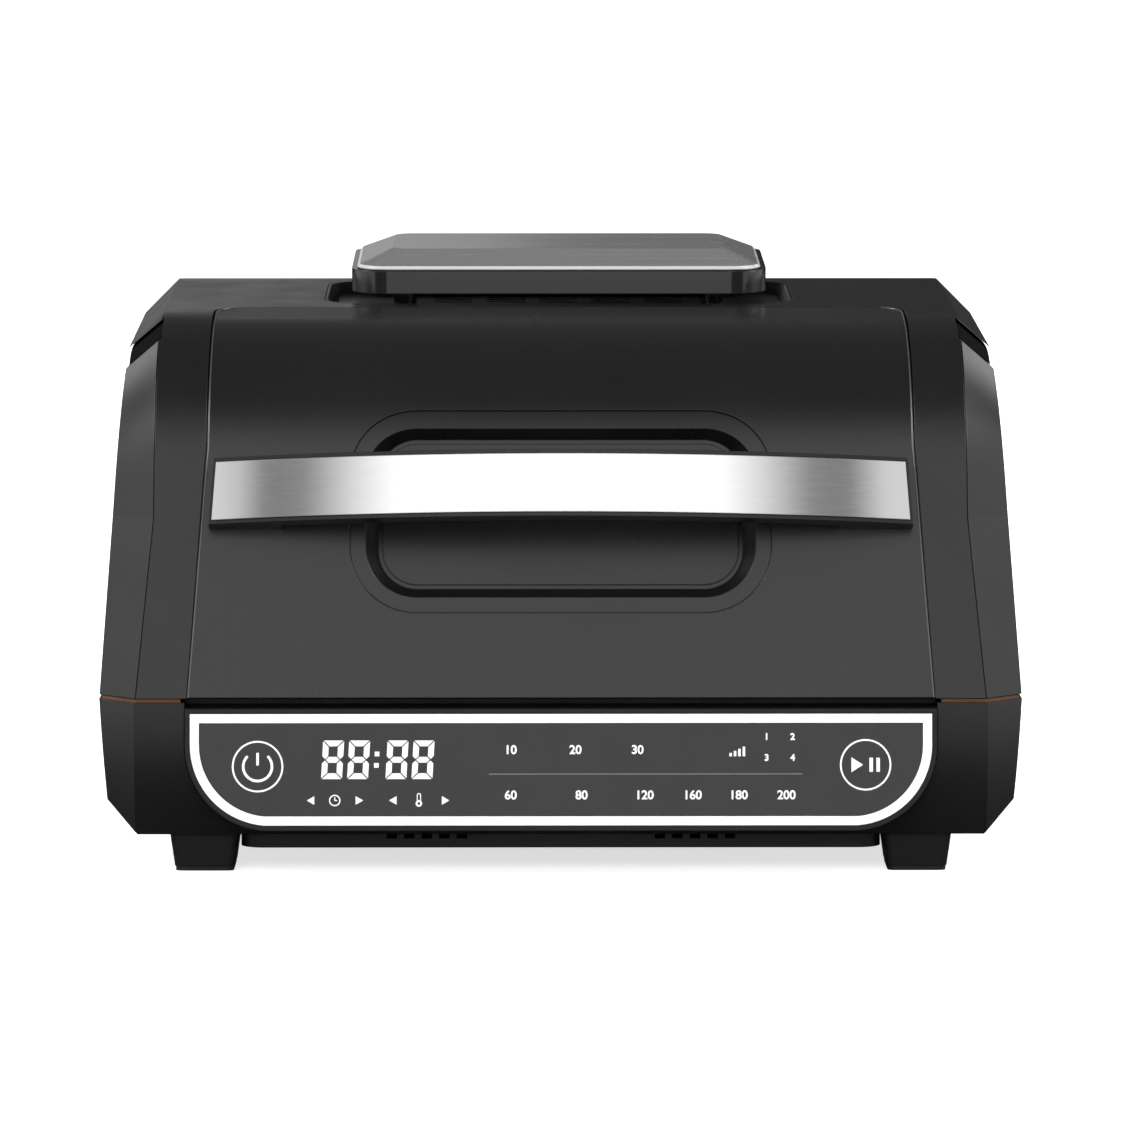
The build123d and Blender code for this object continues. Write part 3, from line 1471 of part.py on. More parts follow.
def radial_fan(z, radius, height, blades, disc_on_top):
    """Disc with straight radial blades round a hub."""
    disc_z = z + height if disc_on_top else z
    blade_z = z if disc_on_top else z + fan_plate_thickness
    with BuildPart() as fan:
        with BuildSketch(Plane.XY.offset(disc_z)):
            with Locations((0, cook_y)):
                Circle(radius)
        extrude(amount=fan_plate_thickness)
        with BuildSketch(Plane.XY.offset(z)):
            with Locations((0, cook_y)):
                Circle(hub_radius - 1.0)
        extrude(amount=height + fan_plate_thickness)
        with BuildSketch(Plane.XY.offset(blade_z)):
            with Locations((0, cook_y)):
                with PolarLocations((radius + hub_radius) / 2 + 2.0, blades):
                    Rectangle(radius - hub_radius - 6.0, blade_thickness)
        extrude(amount=height)
        add(
            rod((0, cook_y, z - 1), (0, 0, 1), height + 5, shaft_radius + hub_fit),
            mode=Mode.SUBTRACT,
        )
    return fan.part


hot_air_fan = radial_fan(hot_fan_z, hot_fan_radius, hot_fan_height, hot_blade_count, True)
cooling_fan = radial_fan(
    cooling_fan_z, cooling_fan_radius, cooling_fan_height - fan_plate_thickness, cooling_blade_count, False
)
with BuildPart() as fan_nut:
    with BuildSketch(Plane.XY.offset(hot_fan_z - nut_height)):
        with Locations((0, cook_y)):
            RegularPolygon(7.0, 6)
            Circle(shaft_radius + hub_fit, mode=Mode.SUBTRACT)
    extrude(amount=nut_height)

# Fasteners, one node for each kind
foot_screws = group(screw(place, (0, 0, 1), foot_screw_length) for place in foot_screw_places)
bottom_screws = group(screw(place, (0, 0, 1), plate_screw_length) for place in plate_screw_places)
handle_screws = group(screw(place, face_out, handle_screw_length) for place in handle_screw_places)
bracket_screws = group(
    screw(place, (0, -1, 0), bracket_screw_length) for place in bracket_screw_places
)
arm_screws = group(screw(place, (0, 1, 0), arm_screw_length) for place in arm_screw_places)
tower_screws = group(
    screw(place, crown_up, tower_screw_length) for place in tower_screw_places
)

pieces = {
    "base_housing": base_housing.part,
    "bottom_plate": bottom_plate.part,
    **feet,
    **pads,
    "foot_screws": foot_screws,
    "bottom_screws": bottom_screws,
    "panel_bezel": panel_bezel.part,
    "panel_ring": panel_ring.part,
    "touch_panel": touch_panel.part,
    "control_board": control_board.part,
    "display_module": display_module.part,
    "power_board": power_board.part,
    "cord_grommet": cord_grommet.part,
    "base_liner": base_liner.part,
    "lower_heating_element": lower_heating_element,
    "lower_element_clips": lower_element_clips,
    "rim_gasket": rim_gasket.part,
    "hinge_bracket_left": hinge_bracket(-hinge_x),
    "hinge_bracket_right": hinge_bracket(hinge_x),
    "hinge_pins": hinge_pins,
    "bracket_screws": bracket_screws,
    "cooking_pot": cooking_pot.part,
    "grill_plate": grill_plate.part,
    "lid_frame": lid_frame.part,
    "front_panel": front_panel.part,
    **side_panels,
    **side_vents,
    "finger_pocket": finger_pocket.part,
    "handle_bar": handle_bar.part,
    "handle_trim": handle_trim,
    "handle_screws": handle_screws,
    "intake_tray": intake_tray.part,
    "tower_shell": tower_shell.part,
    "top_plate": top_plate.part,
    "tower_screws": tower_screws,
    "rear_grille": rear_grille.part,
    "lid_liner": lid_liner.part,
    "temperature_probe": temperature_probe,
    "upper_heating_element": upper_heating_element,
    "upper_element_clips": upper_element_clips,
    "element_guard": element_guard.part,
    "heat_shield": heat_shield.part,
    "motor_bracket": motor_bracket.part,
    "fan_motor": fan_motor.part,
    "hinge_arm_left": hinge_arm(-hinge_x),
    "hinge_arm_right": hinge_arm(hinge_x),
    "arm_screws": arm_screws,
    "fan_shaft": fan_shaft,
    "hot_air_fan": hot_air_fan,
    "cooling_fan": cooling_fan,
    "fan_nut": fan_nut.part,
}

os.makedirs("parts", exist_ok=True)
for name, piece in pieces.items():
    piece.label = name
    export_step(piece, f"parts/{name}.step")
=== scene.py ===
"""Studio scene of a countertop air fryer grill: finishes, printed signs, light and camera."""

import math

import bmesh
import bpy
from mathutils import Matrix, Vector


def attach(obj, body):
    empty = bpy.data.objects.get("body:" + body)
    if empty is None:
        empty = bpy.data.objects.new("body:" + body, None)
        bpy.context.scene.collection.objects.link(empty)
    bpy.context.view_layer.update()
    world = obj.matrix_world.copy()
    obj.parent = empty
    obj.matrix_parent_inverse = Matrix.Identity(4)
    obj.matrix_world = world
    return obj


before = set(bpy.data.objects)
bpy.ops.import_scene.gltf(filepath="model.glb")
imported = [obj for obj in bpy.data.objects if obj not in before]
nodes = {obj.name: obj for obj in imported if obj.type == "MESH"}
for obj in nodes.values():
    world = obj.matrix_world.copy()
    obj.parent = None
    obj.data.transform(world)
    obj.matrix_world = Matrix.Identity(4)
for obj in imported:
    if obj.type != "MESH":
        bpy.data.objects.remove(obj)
for stray in [o for o in bpy.data.objects if o.type == "MESH" and o.name not in nodes]:
    bpy.data.objects.remove(stray)
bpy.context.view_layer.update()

MM = 0.001
WHITE = (1.0, 1.0, 1.0, 1.0)

# Camera: size, focal length and optical axis of the photograph in its pixels, sensor width in
# millimetres, place in metres and degrees
PHOTO_SIZE = 1125.0
FOCAL_PIXELS = 6628.66
AXIS_PIXEL = (559.0, 544.257)
SENSOR = 36.0
CAMERA_TARGET = Vector((0.0, -0.028, 0.128))
CAMERA_DISTANCE = 3.0
CAMERA_RISE = 5.6
CAMERA_TURN = -0.33
CAMERA_REACH = 200.0

# Studio walls in reflections: brightness round a full turn, from the back over left, front, right
STUDIO_WALLS = (
    (0.0, 0.4),
    (0.015, 0.46),
    (0.05, 0.14),
    (0.12, 0.24),
    (0.2, 0.95),
    (0.3, 0.9),
    (0.37, 0.5),
    (0.398, 0.85),
    (0.411, 0.24),
    (0.423, 0.3),
    (0.438, 0.88),
    (0.45, 1.3),
    (0.55, 1.3),
    (0.562, 0.88),
    (0.577, 0.3),
    (0.589, 0.24),
    (0.602, 0.85),
    (0.63, 0.5),
    (0.7, 0.9),
    (0.8, 1.0),
    (0.9, 0.06),
    (0.97, 0.02),
    (1.0, 0.04),
)
# The walls pass into the ceiling between these heights, as sines of the angle above the horizon,
# and the back walls' heights take over from the front walls' as a direction points backwards
FRONT_RISE = ((0.74, 0.0), (0.93, 1.0))
BACK_RISE = ((0.2, 0.0), (0.4, 1.0))
BACKWARD = ((0.0, 0.0), (0.2, 1.0))
STUDIO_CEILING = 0.1
# Even light on the surfaces from all round
AMBIENT = 0.6

# Floor: half its width, and the glow that the camera sees
FLOOR_HALF = 40.0
FLOOR_GLOW = 0.7
# Floor in reflections: brightness by the distance from the middle, as a share of its reach, dark
# near the middle as painted shade of the object
FLOOR_REACH = 3.0
FLOOR_MIRRORED = ((0.06, 0.04), (0.12, 0.17), (0.3, 0.5), (0.46, 1.1), (0.9, 1.3))
# It grows dark far behind the object, between these distances
FLOOR_BACK = 0.06
FLOOR_BACK_REACH = (1.4, 2.2)
# Dark strips on it lie beside straight ahead and behind, by the slope away from there
FLAG = ((0.12, 1.0), (0.16, 0.12), (0.8, 0.12), (1.0, 1.0))
FLAG_REACH = 1.6

# Lamps: name, place, height of the point aimed at, width, height, watts, seen in reflections
LAMPS = (
    ("front_fill", (-0.3, -3.2, 1.7), 0.15, 2.6, 1.6, 60.0, False),
    ("rear_fill", (0.3, 3.2, 1.7), 0.15, 2.6, 1.6, 70.0, False),
    ("left_side", (-1.6, -0.2, 1.3), 0.15, 0.9, 0.9, 22.0, True),
    ("right_side", (1.6, -0.2, 1.3), 0.15, 0.9, 0.9, 20.0, True),
    ("left_rim", (-1.55, 1.5, 1.05), 0.2, 0.8, 0.5, 2.2, True),
    ("right_rim", (1.55, 1.5, 1.05), 0.2, 0.8, 0.5, 2.6, True),
)


# Colours


def linear(level):
    """Linear value of an 8-bit display level."""
    share = level / 255
    return share / 12.92 if share <= 0.04045 else ((share + 0.055) / 1.055) ** 2.4


def grey(level):
    """Linear grey of an 8-bit display level."""
    return (linear(level),) * 3


def colour(red, green, blue):
    """Linear colour of three 8-bit display levels."""
    return (linear(red), linear(green), linear(blue))


# Node helpers

# Numbers of the colour sockets of a Mix node: factor, both inputs, and the result
MIX_INPUTS = (0, 6, 7)
MIX_RESULT = 2


def feed(tree, socket, value):
    """Links a node's output to a socket, or sets a constant there."""
    if isinstance(value, bpy.types.NodeSocket):
        tree.links.new(value, socket)
    else:
        socket.default_value = value


def calculate(tree, operation, *values):
    """Result of a Math node."""
    made = tree.nodes.new("ShaderNodeMath")
    made.operation = operation
    for socket, value in zip(made.inputs, values):
        feed(tree, socket, value)
    return made.outputs["Value"]


def blended(tree, fac, first, second, kind="MIX"):
    """Blend of two colours by a factor."""
    made = tree.nodes.new("ShaderNodeMix")
    made.data_type = "RGBA"
    made.blend_type = kind
    for socket, value in zip(MIX_INPUTS, (fac, first, second)):
        feed(tree, made.inputs[socket], value)
    return made.outputs[MIX_RESULT]


def colour_ramp(tree, value, stops):
    """Colours along a value, from (place, colour) pairs."""
    made = tree.nodes.new("ShaderNodeValToRGB")
    stages = made.color_ramp.elements
    for stage, (place, tone) in zip(stages, (stops[0], stops[-1])):
        stage.position = place
        stage.color = (*tone, 1.0)
    for place, tone in stops[1:-1]:
        stages.new(place).color = (*tone, 1.0)
    tree.links.new(value, made.inputs["Fac"])
    return made.outputs["Color"]


def grey_ramp(tree, value, stops):
    """Brightness along a value, from (place, brightness) pairs."""
    return colour_ramp(tree, value, [(place, (level,) * 3) for place, level in stops])


# Part of a noise pattern's range that is used
PATTERN_START = 0.3
PATTERN_END = 0.7


class Finish:
    """A procedural material built round one Principled shader."""

    def __init__(self, name, base, roughness, metallic=0.0):
        self.material = bpy.data.materials.new(name)
        self.material.use_nodes = True
        self.tree = self.material.node_tree
        self.shader = self.tree.nodes["Principled BSDF"]
        self.base = base
        self.set("Base Color", (*base, 1.0))
        self.set("Roughness", roughness)
        self.set("Metallic", metallic)
        self.place = self.add("ShaderNodeTexCoord").outputs["Object"]
        self.normal = None

    def add(self, kind):
        """Adds a node."""
        return self.tree.nodes.new(kind)

    def link(self, output, socket):
        """Links an output to an input."""
        self.tree.links.new(output, socket)

    def set(self, socket, value):
        """Sets or feeds one of the shader's inputs."""
        feed(self.tree, self.shader.inputs[socket], value)

    def shade(self, share):
        """The base colour, darker or lighter."""
        return tuple(share * c for c in self.base)

    def noise(self, scale, detail=3.0, stretch=(1.0, 1.0, 1.0), roughness=0.5):
        """Noise over the object, its scale in cells to the metre."""
        mapping = self.add("ShaderNodeMapping")
        mapping.inputs["Scale"].default_value = stretch
        self.link(self.place, mapping.inputs["Vector"])
        texture = self.add("ShaderNodeTexNoise")
        texture.inputs["Scale"].default_value = scale
        texture.inputs["Detail"].default_value = detail
        texture.inputs["Roughness"].default_value = roughness
        self.link(mapping.outputs["Vector"], texture.inputs["Vector"])
        return texture.outputs["Fac"]

    def cells(self, scale):
        """Distance pattern of scattered cells, their number to the metre."""
        texture = self.add("ShaderNodeTexVoronoi")
        texture.inputs["Scale"].default_value = scale
        self.link(self.place, texture.inputs["Vector"])
        return texture.outputs["Distance"]

    def spread(self, fac, low, high, start=PATTERN_START, end=PATTERN_END):
        """Turns a pattern into a value from low to high."""
        ranged = self.add("ShaderNodeMapRange")
        ranged.inputs["From Min"].default_value = start
        ranged.inputs["From Max"].default_value = end
        ranged.inputs["To Min"].default_value = low
        ranged.inputs["To Max"].default_value = high
        self.link(fac, ranged.inputs["Value"])
        return ranged.outputs["Result"]

    def tones(self, fac, low, high, start=PATTERN_START, end=PATTERN_END):
        """Colours the surface between two tones by a pattern."""
        self.set("Base Color", colour_ramp(self.tree, fac, ((start, low), (end, high))))

    def mottle(self, share, scale):
        """Slight change of shade over the surface."""
        self.tones(self.noise(scale, detail=4.0), self.shade(1 - share), self.shade(1 + share))

    def rough(self, fac, low, high, start=PATTERN_START, end=PATTERN_END):
        """Roughness between two values by a pattern."""
        self.set("Roughness", self.spread(fac, low, high, start, end))

    def rounded(self, radius):
        """Softens sharp edges with a small radius."""
        bevel = self.add("ShaderNodeBevel")
        bevel.samples = 4
        bevel.inputs["Radius"].default_value = radius
        self.normal = bevel.outputs["Normal"]
        self.set("Normal", self.normal)

    def bump(self, height, strength, distance):
        """Adds relief from a pattern, distance in metres."""
        relief = self.add("ShaderNodeBump")
        relief.inputs["Strength"].default_value = strength
        relief.inputs["Distance"].default_value = distance
        self.link(height, relief.inputs["Height"])
        if self.normal is not None:
            self.link(self.normal, relief.inputs["Normal"])
        self.normal = relief.outputs["Normal"]
        self.set("Normal", self.normal)


# Plastics


def moulded(name, level, roughness, grain=2200.0, relief=0.25, edge=0.5, gloss=0.5):
    """Black moulded plastic with a fine spark-eroded grain and soft edges."""
    made = Finish(name, grey(level), roughness)
    made.mottle(share=0.05, scale=26.0)
    made.rough(made.noise(45.0, detail=5.0), roughness - 0.03, roughness + 0.03)
    made.set("Specular IOR Level", gloss)
    made.rounded(edge * MM)
    made.bump(made.noise(grain, detail=2.0), strength=relief, distance=0.02 * MM)
    return made.material


def satin_face(name, level, roughness, gloss=0.5):
    """Satin lacquered plastic: faint orange peel and slow changes of gloss."""
    made = Finish(name, grey(level), roughness)
    made.mottle(share=0.04, scale=9.0)
    made.rough(made.noise(14.0, detail=6.0), roughness - 0.03, roughness + 0.03)
    made.set("Specular IOR Level", gloss)
    made.set("Coat Weight", 0.15)
    made.set("Coat Roughness", 0.3)
    made.rounded(0.7 * MM)
    made.bump(made.noise(420.0, detail=2.0), strength=0.12, distance=0.02 * MM)
    return made.material


def panel_glass(name, level):
    """Hard coated touch panel with faint finger smudges."""
    made = Finish(name, grey(level), roughness=0.16)
    made.mottle(share=0.05, scale=12.0)
    smudges = made.noise(60.0, detail=6.0, stretch=(1.0, 1.0, 0.6))
    made.rough(smudges, 0.12, 0.24, start=0.45, end=0.75)
    made.rounded(0.3 * MM)
    made.bump(made.noise(240.0, detail=1.0), strength=0.05, distance=0.01 * MM)
    return made.material


def printed(name, level):
    """Printed ink with a slightly uneven surface and a soft sheen."""
    made = Finish(name, grey(level), roughness=0.45)
    made.mottle(share=0.03, scale=300.0)
    made.rough(made.noise(800.0), 0.38, 0.52)
    made.bump(made.noise(3000.0, detail=2.0), strength=0.1, distance=0.01 * MM)
    return made.material


def soft_rubber(name, base):
    """Silicone or rubber with a matt bloom."""
    made = Finish(name, base, roughness=0.6)
    made.mottle(share=0.15, scale=60.0)
    made.rough(made.noise(180.0, detail=4.0), 0.5, 0.72)
    made.bump(made.noise(1800.0), strength=0.3, distance=0.03 * MM)
    return made.material


# Metals


def worked_metal(name, level, roughness, grain):
    """Bare metal with fine marks of its working and a faint haze."""
    made = Finish(name, grey(level), roughness, metallic=1.0)
    marks = made.noise(1.0, detail=5.0, stretch=(grain,) * 3, roughness=0.7)
    made.tones(marks, made.shade(0.84), made.shade(1.12))
    made.rough(marks, roughness - 0.07, roughness + 0.09)
    made.set("Anisotropic", 0.5)
    made.rounded(0.5 * MM)
    made.bump(marks, strength=0.12, distance=0.01 * MM)
    return made.material


def bright_metal(name, level, roughness):
    """Polished plated strip with very faint drawing lines along its length."""
    made = Finish(name, grey(level), roughness, metallic=1.0)
    streaks = made.noise(1.0, stretch=(3.0, 400.0, 900.0))
    made.rough(streaks, roughness - 0.01, roughness + 0.02)
    made.tones(streaks, made.shade(0.97), made.base)
    made.rounded(0.5 * MM)
    return made.material


# Mask of the rim chamfer of a brushed plate, by the upward part of its normal, where a painted
# highlight goes
HIGHLIGHT_CHAMFER = ((0.4, 0.0), (0.5, 1.0), (0.8, 1.0), (0.86, 0.0))


def cut_plate(name, level, highlight_level, roughness):
    """Satin anodised plate brushed along X, its rim chamfer coloured near white as a painted
    highlight.
    """
    made = Finish(name, grey(level), roughness, metallic=0.55)
    streaks = made.noise(1.0, detail=5.0, stretch=(5.0, 900.0, 900.0), roughness=0.7)
    tones = ((PATTERN_START, made.shade(0.92)), (PATTERN_END, made.shade(1.06)))
    split = made.add("ShaderNodeSeparateXYZ")
    made.link(made.add("ShaderNodeTexCoord").outputs["Normal"], split.inputs["Vector"])
    chamfer = grey_ramp(made.tree, split.outputs["Z"], HIGHLIGHT_CHAMFER)
    brush = colour_ramp(made.tree, streaks, tones)
    # Painted highlight: the rim chamfer's faces take a near-white colour that stands in for a
    # reflection
    made.set("Base Color", blended(made.tree, chamfer, brush, (*grey(highlight_level), 1.0)))
    made.rough(streaks, roughness - 0.05, roughness + 0.07)
    made.bump(streaks, strength=0.06, distance=0.008 * MM)
    return made.material


def sheet_steel(name, level, roughness, spangle=160.0):
    """Aluminised or zinc-plated sheet with a faint crystal pattern."""
    made = Finish(name, grey(level), roughness, metallic=0.6)
    made.tones(made.cells(spangle), made.shade(0.9), made.shade(1.06), start=0.1, end=0.8)
    made.rough(made.noise(70.0, detail=5.0), roughness - 0.04, roughness + 0.05)
    made.rounded(0.4 * MM)
    made.bump(made.noise(900.0), strength=0.06, distance=0.01 * MM)
    return made.material


def heated_steel(name):
    """Heater sheath, tinted by heat."""
    made = Finish(name, colour(92, 84, 78), roughness=0.42, metallic=1.0)
    made.tones(made.noise(38.0, detail=4.0), colour(62, 58, 60), colour(118, 104, 90))
    made.rough(made.noise(260.0, detail=4.0), 0.34, 0.55)
    made.bump(made.noise(1500.0, detail=2.0), strength=0.15, distance=0.02 * MM)
    return made.material


def coated(name, level, fleck_level):
    """Non-stick coating with fine pale flecks."""
    made = Finish(name, grey(level), roughness=0.38)
    made.tones(made.cells(520.0), grey(fleck_level), grey(level), start=0.04, end=0.16)
    made.rough(made.noise(120.0, detail=4.0), 0.32, 0.48)
    made.rounded(0.6 * MM)
    made.bump(made.noise(900.0), strength=0.2, distance=0.03 * MM)
    return made.material


def board(name):
    """Glass-fibre circuit board with a weave and a faint pattern of tracks."""
    made = Finish(name, colour(24, 74, 46), roughness=0.35)
    tracks = made.noise(1.0, detail=1.0, stretch=(700.0, 90.0, 700.0))
    made.tones(tracks, colour(18, 60, 38), colour(40, 96, 60), start=0.45, end=0.55)
    made.rough(made.noise(400.0), 0.3, 0.45)
    made.bump(made.cells(900.0), strength=0.2, distance=0.02 * MM)
    return made.material


# Finish of each material slot: name, display level, roughness, and what differs from the rest
finishes = {
    "base_black": moulded("base_plastic", 16, 0.46, gloss=0.4),
    "foot_black": moulded("foot_plastic", 15, 0.52, grain=1600.0, relief=0.35, gloss=0.35),
    "pad_rubber": soft_rubber("pad_rubber", grey(20)),
    "gasket": soft_rubber("gasket_silicone", colour(92, 58, 36)),
    "ring_white": printed("ring_white", 243),
    "touch_glass": panel_glass("touch_panel", 26),
    "circuit_board": board("circuit_board"),
    "display_black": moulded("display_plastic", 12, 0.2, grain=500.0, relief=0.05, edge=0.2),
    "liner_steel": sheet_steel("liner_steel", 172, 0.36),
    "bracket_steel": sheet_steel("bracket_steel", 150, 0.36),
    "element_steel": heated_steel("element_steel"),
    "fastener_steel": worked_metal("fastener_steel", 150, 0.34, grain=300.0),
    "coated_aluminium": coated("coated_aluminium", 44, fleck_level=104),
    "hood_black": moulded("hood_plastic", 19, 0.3),
    "face_black": satin_face("face_satin", 20, 0.27),
    "vent_black": moulded("vent_plastic", 5, 0.75, gloss=0.05),
    "handle_black": moulded("handle_plastic", 16, 0.36, grain=1500.0, relief=0.15),
    "trim_chrome": bright_metal("trim_chrome", 232, 0.07),
    "tower_black": satin_face("tower_gloss", 22, 0.1),
    # The plate's rim chamfer is coloured grey 252, a painted highlight
    "plate_metal": cut_plate("plate_metal", 146, 252, 0.22),
    "motor_steel": sheet_steel("motor_steel", 140, 0.4, spangle=200.0),
    "fan_aluminium": worked_metal("fan_aluminium", 190, 0.36, grain=120.0),
    "fan_plastic": moulded("fan_plastic", 48, 0.45),
}
for node in nodes.values():
    for slot in node.material_slots:
        slot.material = finishes[slot.material.name.split(".")[0]]


# Touch panel: its lean in degrees, its frame at the top edge, and the ink printed on it

PANEL_LEAN = 7.3
INK = 0.06 * MM
# Vertices closer than this are one
WELD = 0.001 * MM

panel_turn = math.radians(PANEL_LEAN)
panel_normal = Vector((0.0, -math.cos(panel_turn), math.sin(panel_turn)))
panel_up = Vector((0.0, math.sin(panel_turn), math.cos(panel_turn)))
glass_out = max(v.co.dot(panel_normal) for v in nodes["touch_panel"].data.vertices)
bezel_top = max(v.co.dot(panel_up) for v in nodes["panel_bezel"].data.vertices)
panel_frame = Matrix.Translation(panel_normal * glass_out + panel_up * bezel_top) @ Matrix(
    (
        (1.0, 0.0, 0.0, 0.0),
        (0.0, panel_up.y, panel_normal.y, 0.0),
        (0.0, panel_up.z, panel_normal.z, 0.0),
        (0.0, 0.0, 0.0, 1.0),
    )
)
sign_ink = printed("sign_ink", 246)
line_ink = printed("line_ink", 128)


# Shapes of the signs, as lists of flat faces in millimetres

CIRCLE_STEPS = 48


def beside(centre, x=0.0, y=0.0):
    """A point at an offset from another one."""
    return (centre[0] + x, centre[1] + y)


def circle(centre, radius, start, end):
    """Points of an arc, angles in degrees."""
    sweep = end - start
    turns = [math.radians(start + sweep * i / CIRCLE_STEPS) for i in range(CIRCLE_STEPS + 1)]
    return [beside(centre, radius * math.cos(t), radius * math.sin(t)) for t in turns]


def ring(centre, radius, width, start=0.0, end=360.0):
    """A round line of a given width."""
    outer = circle(centre, radius + width / 2, start, end)
    inner = circle(centre, radius - width / 2, start, end)
    return [list(quad) for quad in zip(outer, outer[1:], inner[1:], inner)]


def bar(centre, width, height):
    """An upright rectangle."""
    x, y = centre
    dx, dy = width / 2, height / 2
    return [[(x - dx, y - dy), (x + dx, y - dy), (x + dx, y + dy), (x - dx, y + dy)]]


def arrow(centre, way, width, height):
    """A solid triangle that points left or right."""
    x, y = centre
    tail = x - way * width / 2
    return [[(x + way * width / 2, y), (tail, y + height / 2), (tail, y - height / 2)]]


DIGIT_WIDTH = 9.0
DIGIT_HEIGHT = 16.6
SEGMENT = 2.5
SEGMENT_GAP = 0.35
SLANT = 0.058


def digit(left, low):
    """Seven segments of one display digit, all lit."""
    high, right, middle = low + DIGIT_HEIGHT, left + DIGIT_WIDTH, low + DIGIT_HEIGHT / 2
    half = SEGMENT / 2
    corner = SEGMENT + SEGMENT_GAP
    faces = []
    for y, outer in ((high - half, 1), (low + half, -1)):
        faces.append(
            [
                (left + SEGMENT_GAP, y + outer * half),
                (right - SEGMENT_GAP, y + outer * half),
                (right - corner, y - outer * half),
                (left + corner, y - outer * half),
            ]
        )
    faces.append(
        [
            (left + SEGMENT_GAP + half, middle),
            (left + corner, middle + half),
            (right - corner, middle + half),
            (right - SEGMENT_GAP - half, middle),
            (right - corner, middle - half),
            (left + corner, middle - half),
        ]
    )
    for x, inward in ((left, 1), (right, -1)):
        for end, way in ((high, 1), (low, -1)):
            faces.append(
                [
                    (x, end - way * SEGMENT_GAP),
                    (x + inward * SEGMENT, end - way * corner),
                    (x + inward * SEGMENT, middle + way * (half + SEGMENT_GAP)),
                    (x + inward * half, middle + way * SEGMENT_GAP),
                    (x, middle + way * (half + SEGMENT_GAP)),
                ]
            )
    return [[(px + (py - low) * SLANT, py) for px, py in face] for face in faces]


# Making the pieces

# Height of a figure as a share of the font's size, and how much bolder than the font it is
FIGURE_SHARE = 0.7
FIGURE_WEIGHT = 0.13 * MM


def curve_mesh(name, curve):
    """Mesh of a curve or text, without materials."""
    draft = bpy.data.objects.new(f"{name}_draft", curve)
    data = bpy.data.meshes.new_from_object(draft)
    bpy.data.objects.remove(draft)
    data.materials.clear()
    return data


def print_piece(name, data, ink):
    """Puts a printed mesh on the touch panel, which rides on the base."""
    data.materials.append(ink)
    piece = bpy.data.objects.new(name, data)
    piece.matrix_world = panel_frame
    bpy.context.scene.collection.objects.link(piece)
    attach(piece, "base")


def sign(name, faces, ink=sign_ink):
    """A thin printed piece on the touch panel, from flat faces in millimetres."""
    mesh = bmesh.new()
    for face in faces:
        mesh.faces.new([mesh.verts.new((x * MM, y * MM, 0.0)) for x, y in face])
    bmesh.ops.remove_doubles(mesh, verts=mesh.verts, dist=WELD)
    bmesh.ops.recalc_face_normals(mesh, faces=mesh.faces)
    raised = bmesh.ops.extrude_face_region(mesh, geom=mesh.faces[:])
    tops = [v for v in raised["geom"] if isinstance(v, bmesh.types.BMVert)]
    bmesh.ops.translate(mesh, verts=tops, vec=(0.0, 0.0, INK))
    bmesh.ops.recalc_face_normals(mesh, faces=mesh.faces)
    data = bpy.data.meshes.new(name)
    mesh.to_mesh(data)
    mesh.free()
    print_piece(name, data, ink)


def number(name, text, place, height):
    """A plain printed number, as wide as its figures."""
    curve = bpy.data.curves.new(name, "FONT")
    curve.body = text
    curve.size = height * MM / FIGURE_SHARE
    curve.align_x = "CENTER"
    curve.align_y = "CENTER"
    curve.extrude = INK / 2
    curve.offset = FIGURE_WEIGHT
    data = curve_mesh(name, curve)
    data.transform(Matrix.Translation((place[0] * MM, place[1] * MM, INK / 2)))
    print_piece(name, data, sign_ink)


# Signs on the touch panel, all in millimetres: across from its middle, and up from its top edge

# Power and start buttons
POWER = (-130.6, -24.8)
START = (131.1, -24.2)
BUTTON_RADIUS = 10.7
BUTTON_LINE = 0.75
POWER_RADIUS = 6.2
POWER_LINE = 1.1
POWER_STEM = 5.4
POWER_STEM_RISE = 3.2
POWER_OPENING = (134.0, 406.0)
PLAY_OFFSET, PLAY_WIDTH, PLAY_HEIGHT = -3.6, 5.0, 6.4
PAUSE_OFFSETS, PAUSE_WIDTH, PAUSE_HEIGHT = (2.4, 5.4), 1.5, 6.0

sign("sign_power_circle", ring(POWER, BUTTON_RADIUS, BUTTON_LINE))
sign(
    "sign_power",
    ring(POWER, POWER_RADIUS, POWER_LINE, *POWER_OPENING)
    + bar(beside(POWER, y=POWER_STEM_RISE), POWER_LINE, POWER_STEM),
)
sign("sign_start_circle", ring(START, BUTTON_RADIUS, BUTTON_LINE))
play = arrow(beside(START, PLAY_OFFSET), 1, PLAY_WIDTH, PLAY_HEIGHT)
pause = [bar(beside(START, x), PAUSE_WIDTH, PAUSE_HEIGHT)[0] for x in PAUSE_OFFSETS]
sign("sign_start", play + pause)

# Clock display
DIGITS = (-103.3, -92.1, -75.6, -64.4)
DIGIT_LOW = -30.2
COLON = ((-79.2, -19.4), (-79.5, -24.3))
COLON_DOT = 2.0

sign("display_digits", [face for left in DIGITS for face in digit(left, DIGIT_LOW)])
sign("display_colon", [bar(place, COLON_DOT, COLON_DOT)[0] for place in COLON])

# Arrows with a clock and a thermometer between them
ARROW_ROW = -39.4
ARROWS = ((-107.8, -1), (-86.8, 1), (-72.4, -1), (-49.7, 1))
ARROW_WIDTH, ARROW_HEIGHT = 3.2, 3.7
CLOCK = (-97.4, ARROW_ROW)
CLOCK_RADIUS, CLOCK_LINE = 2.2, 0.5
HAND_LINE, LONG_HAND = 0.45, 1.4
SHORT_HAND, SHORT_HAND_OFFSET = 1.1, 0.5
THERMOMETER = (-61.2, ARROW_ROW)
BULB_RADIUS, BULB_LINE, BULB_DROP = 1.0, 0.8, 1.3
TUBE_RADIUS, TUBE_LINE, TUBE_HEIGHT = 0.7, 0.4, 2.8
TUBE_RISE, TUBE_TOP = 0.9, 2.3

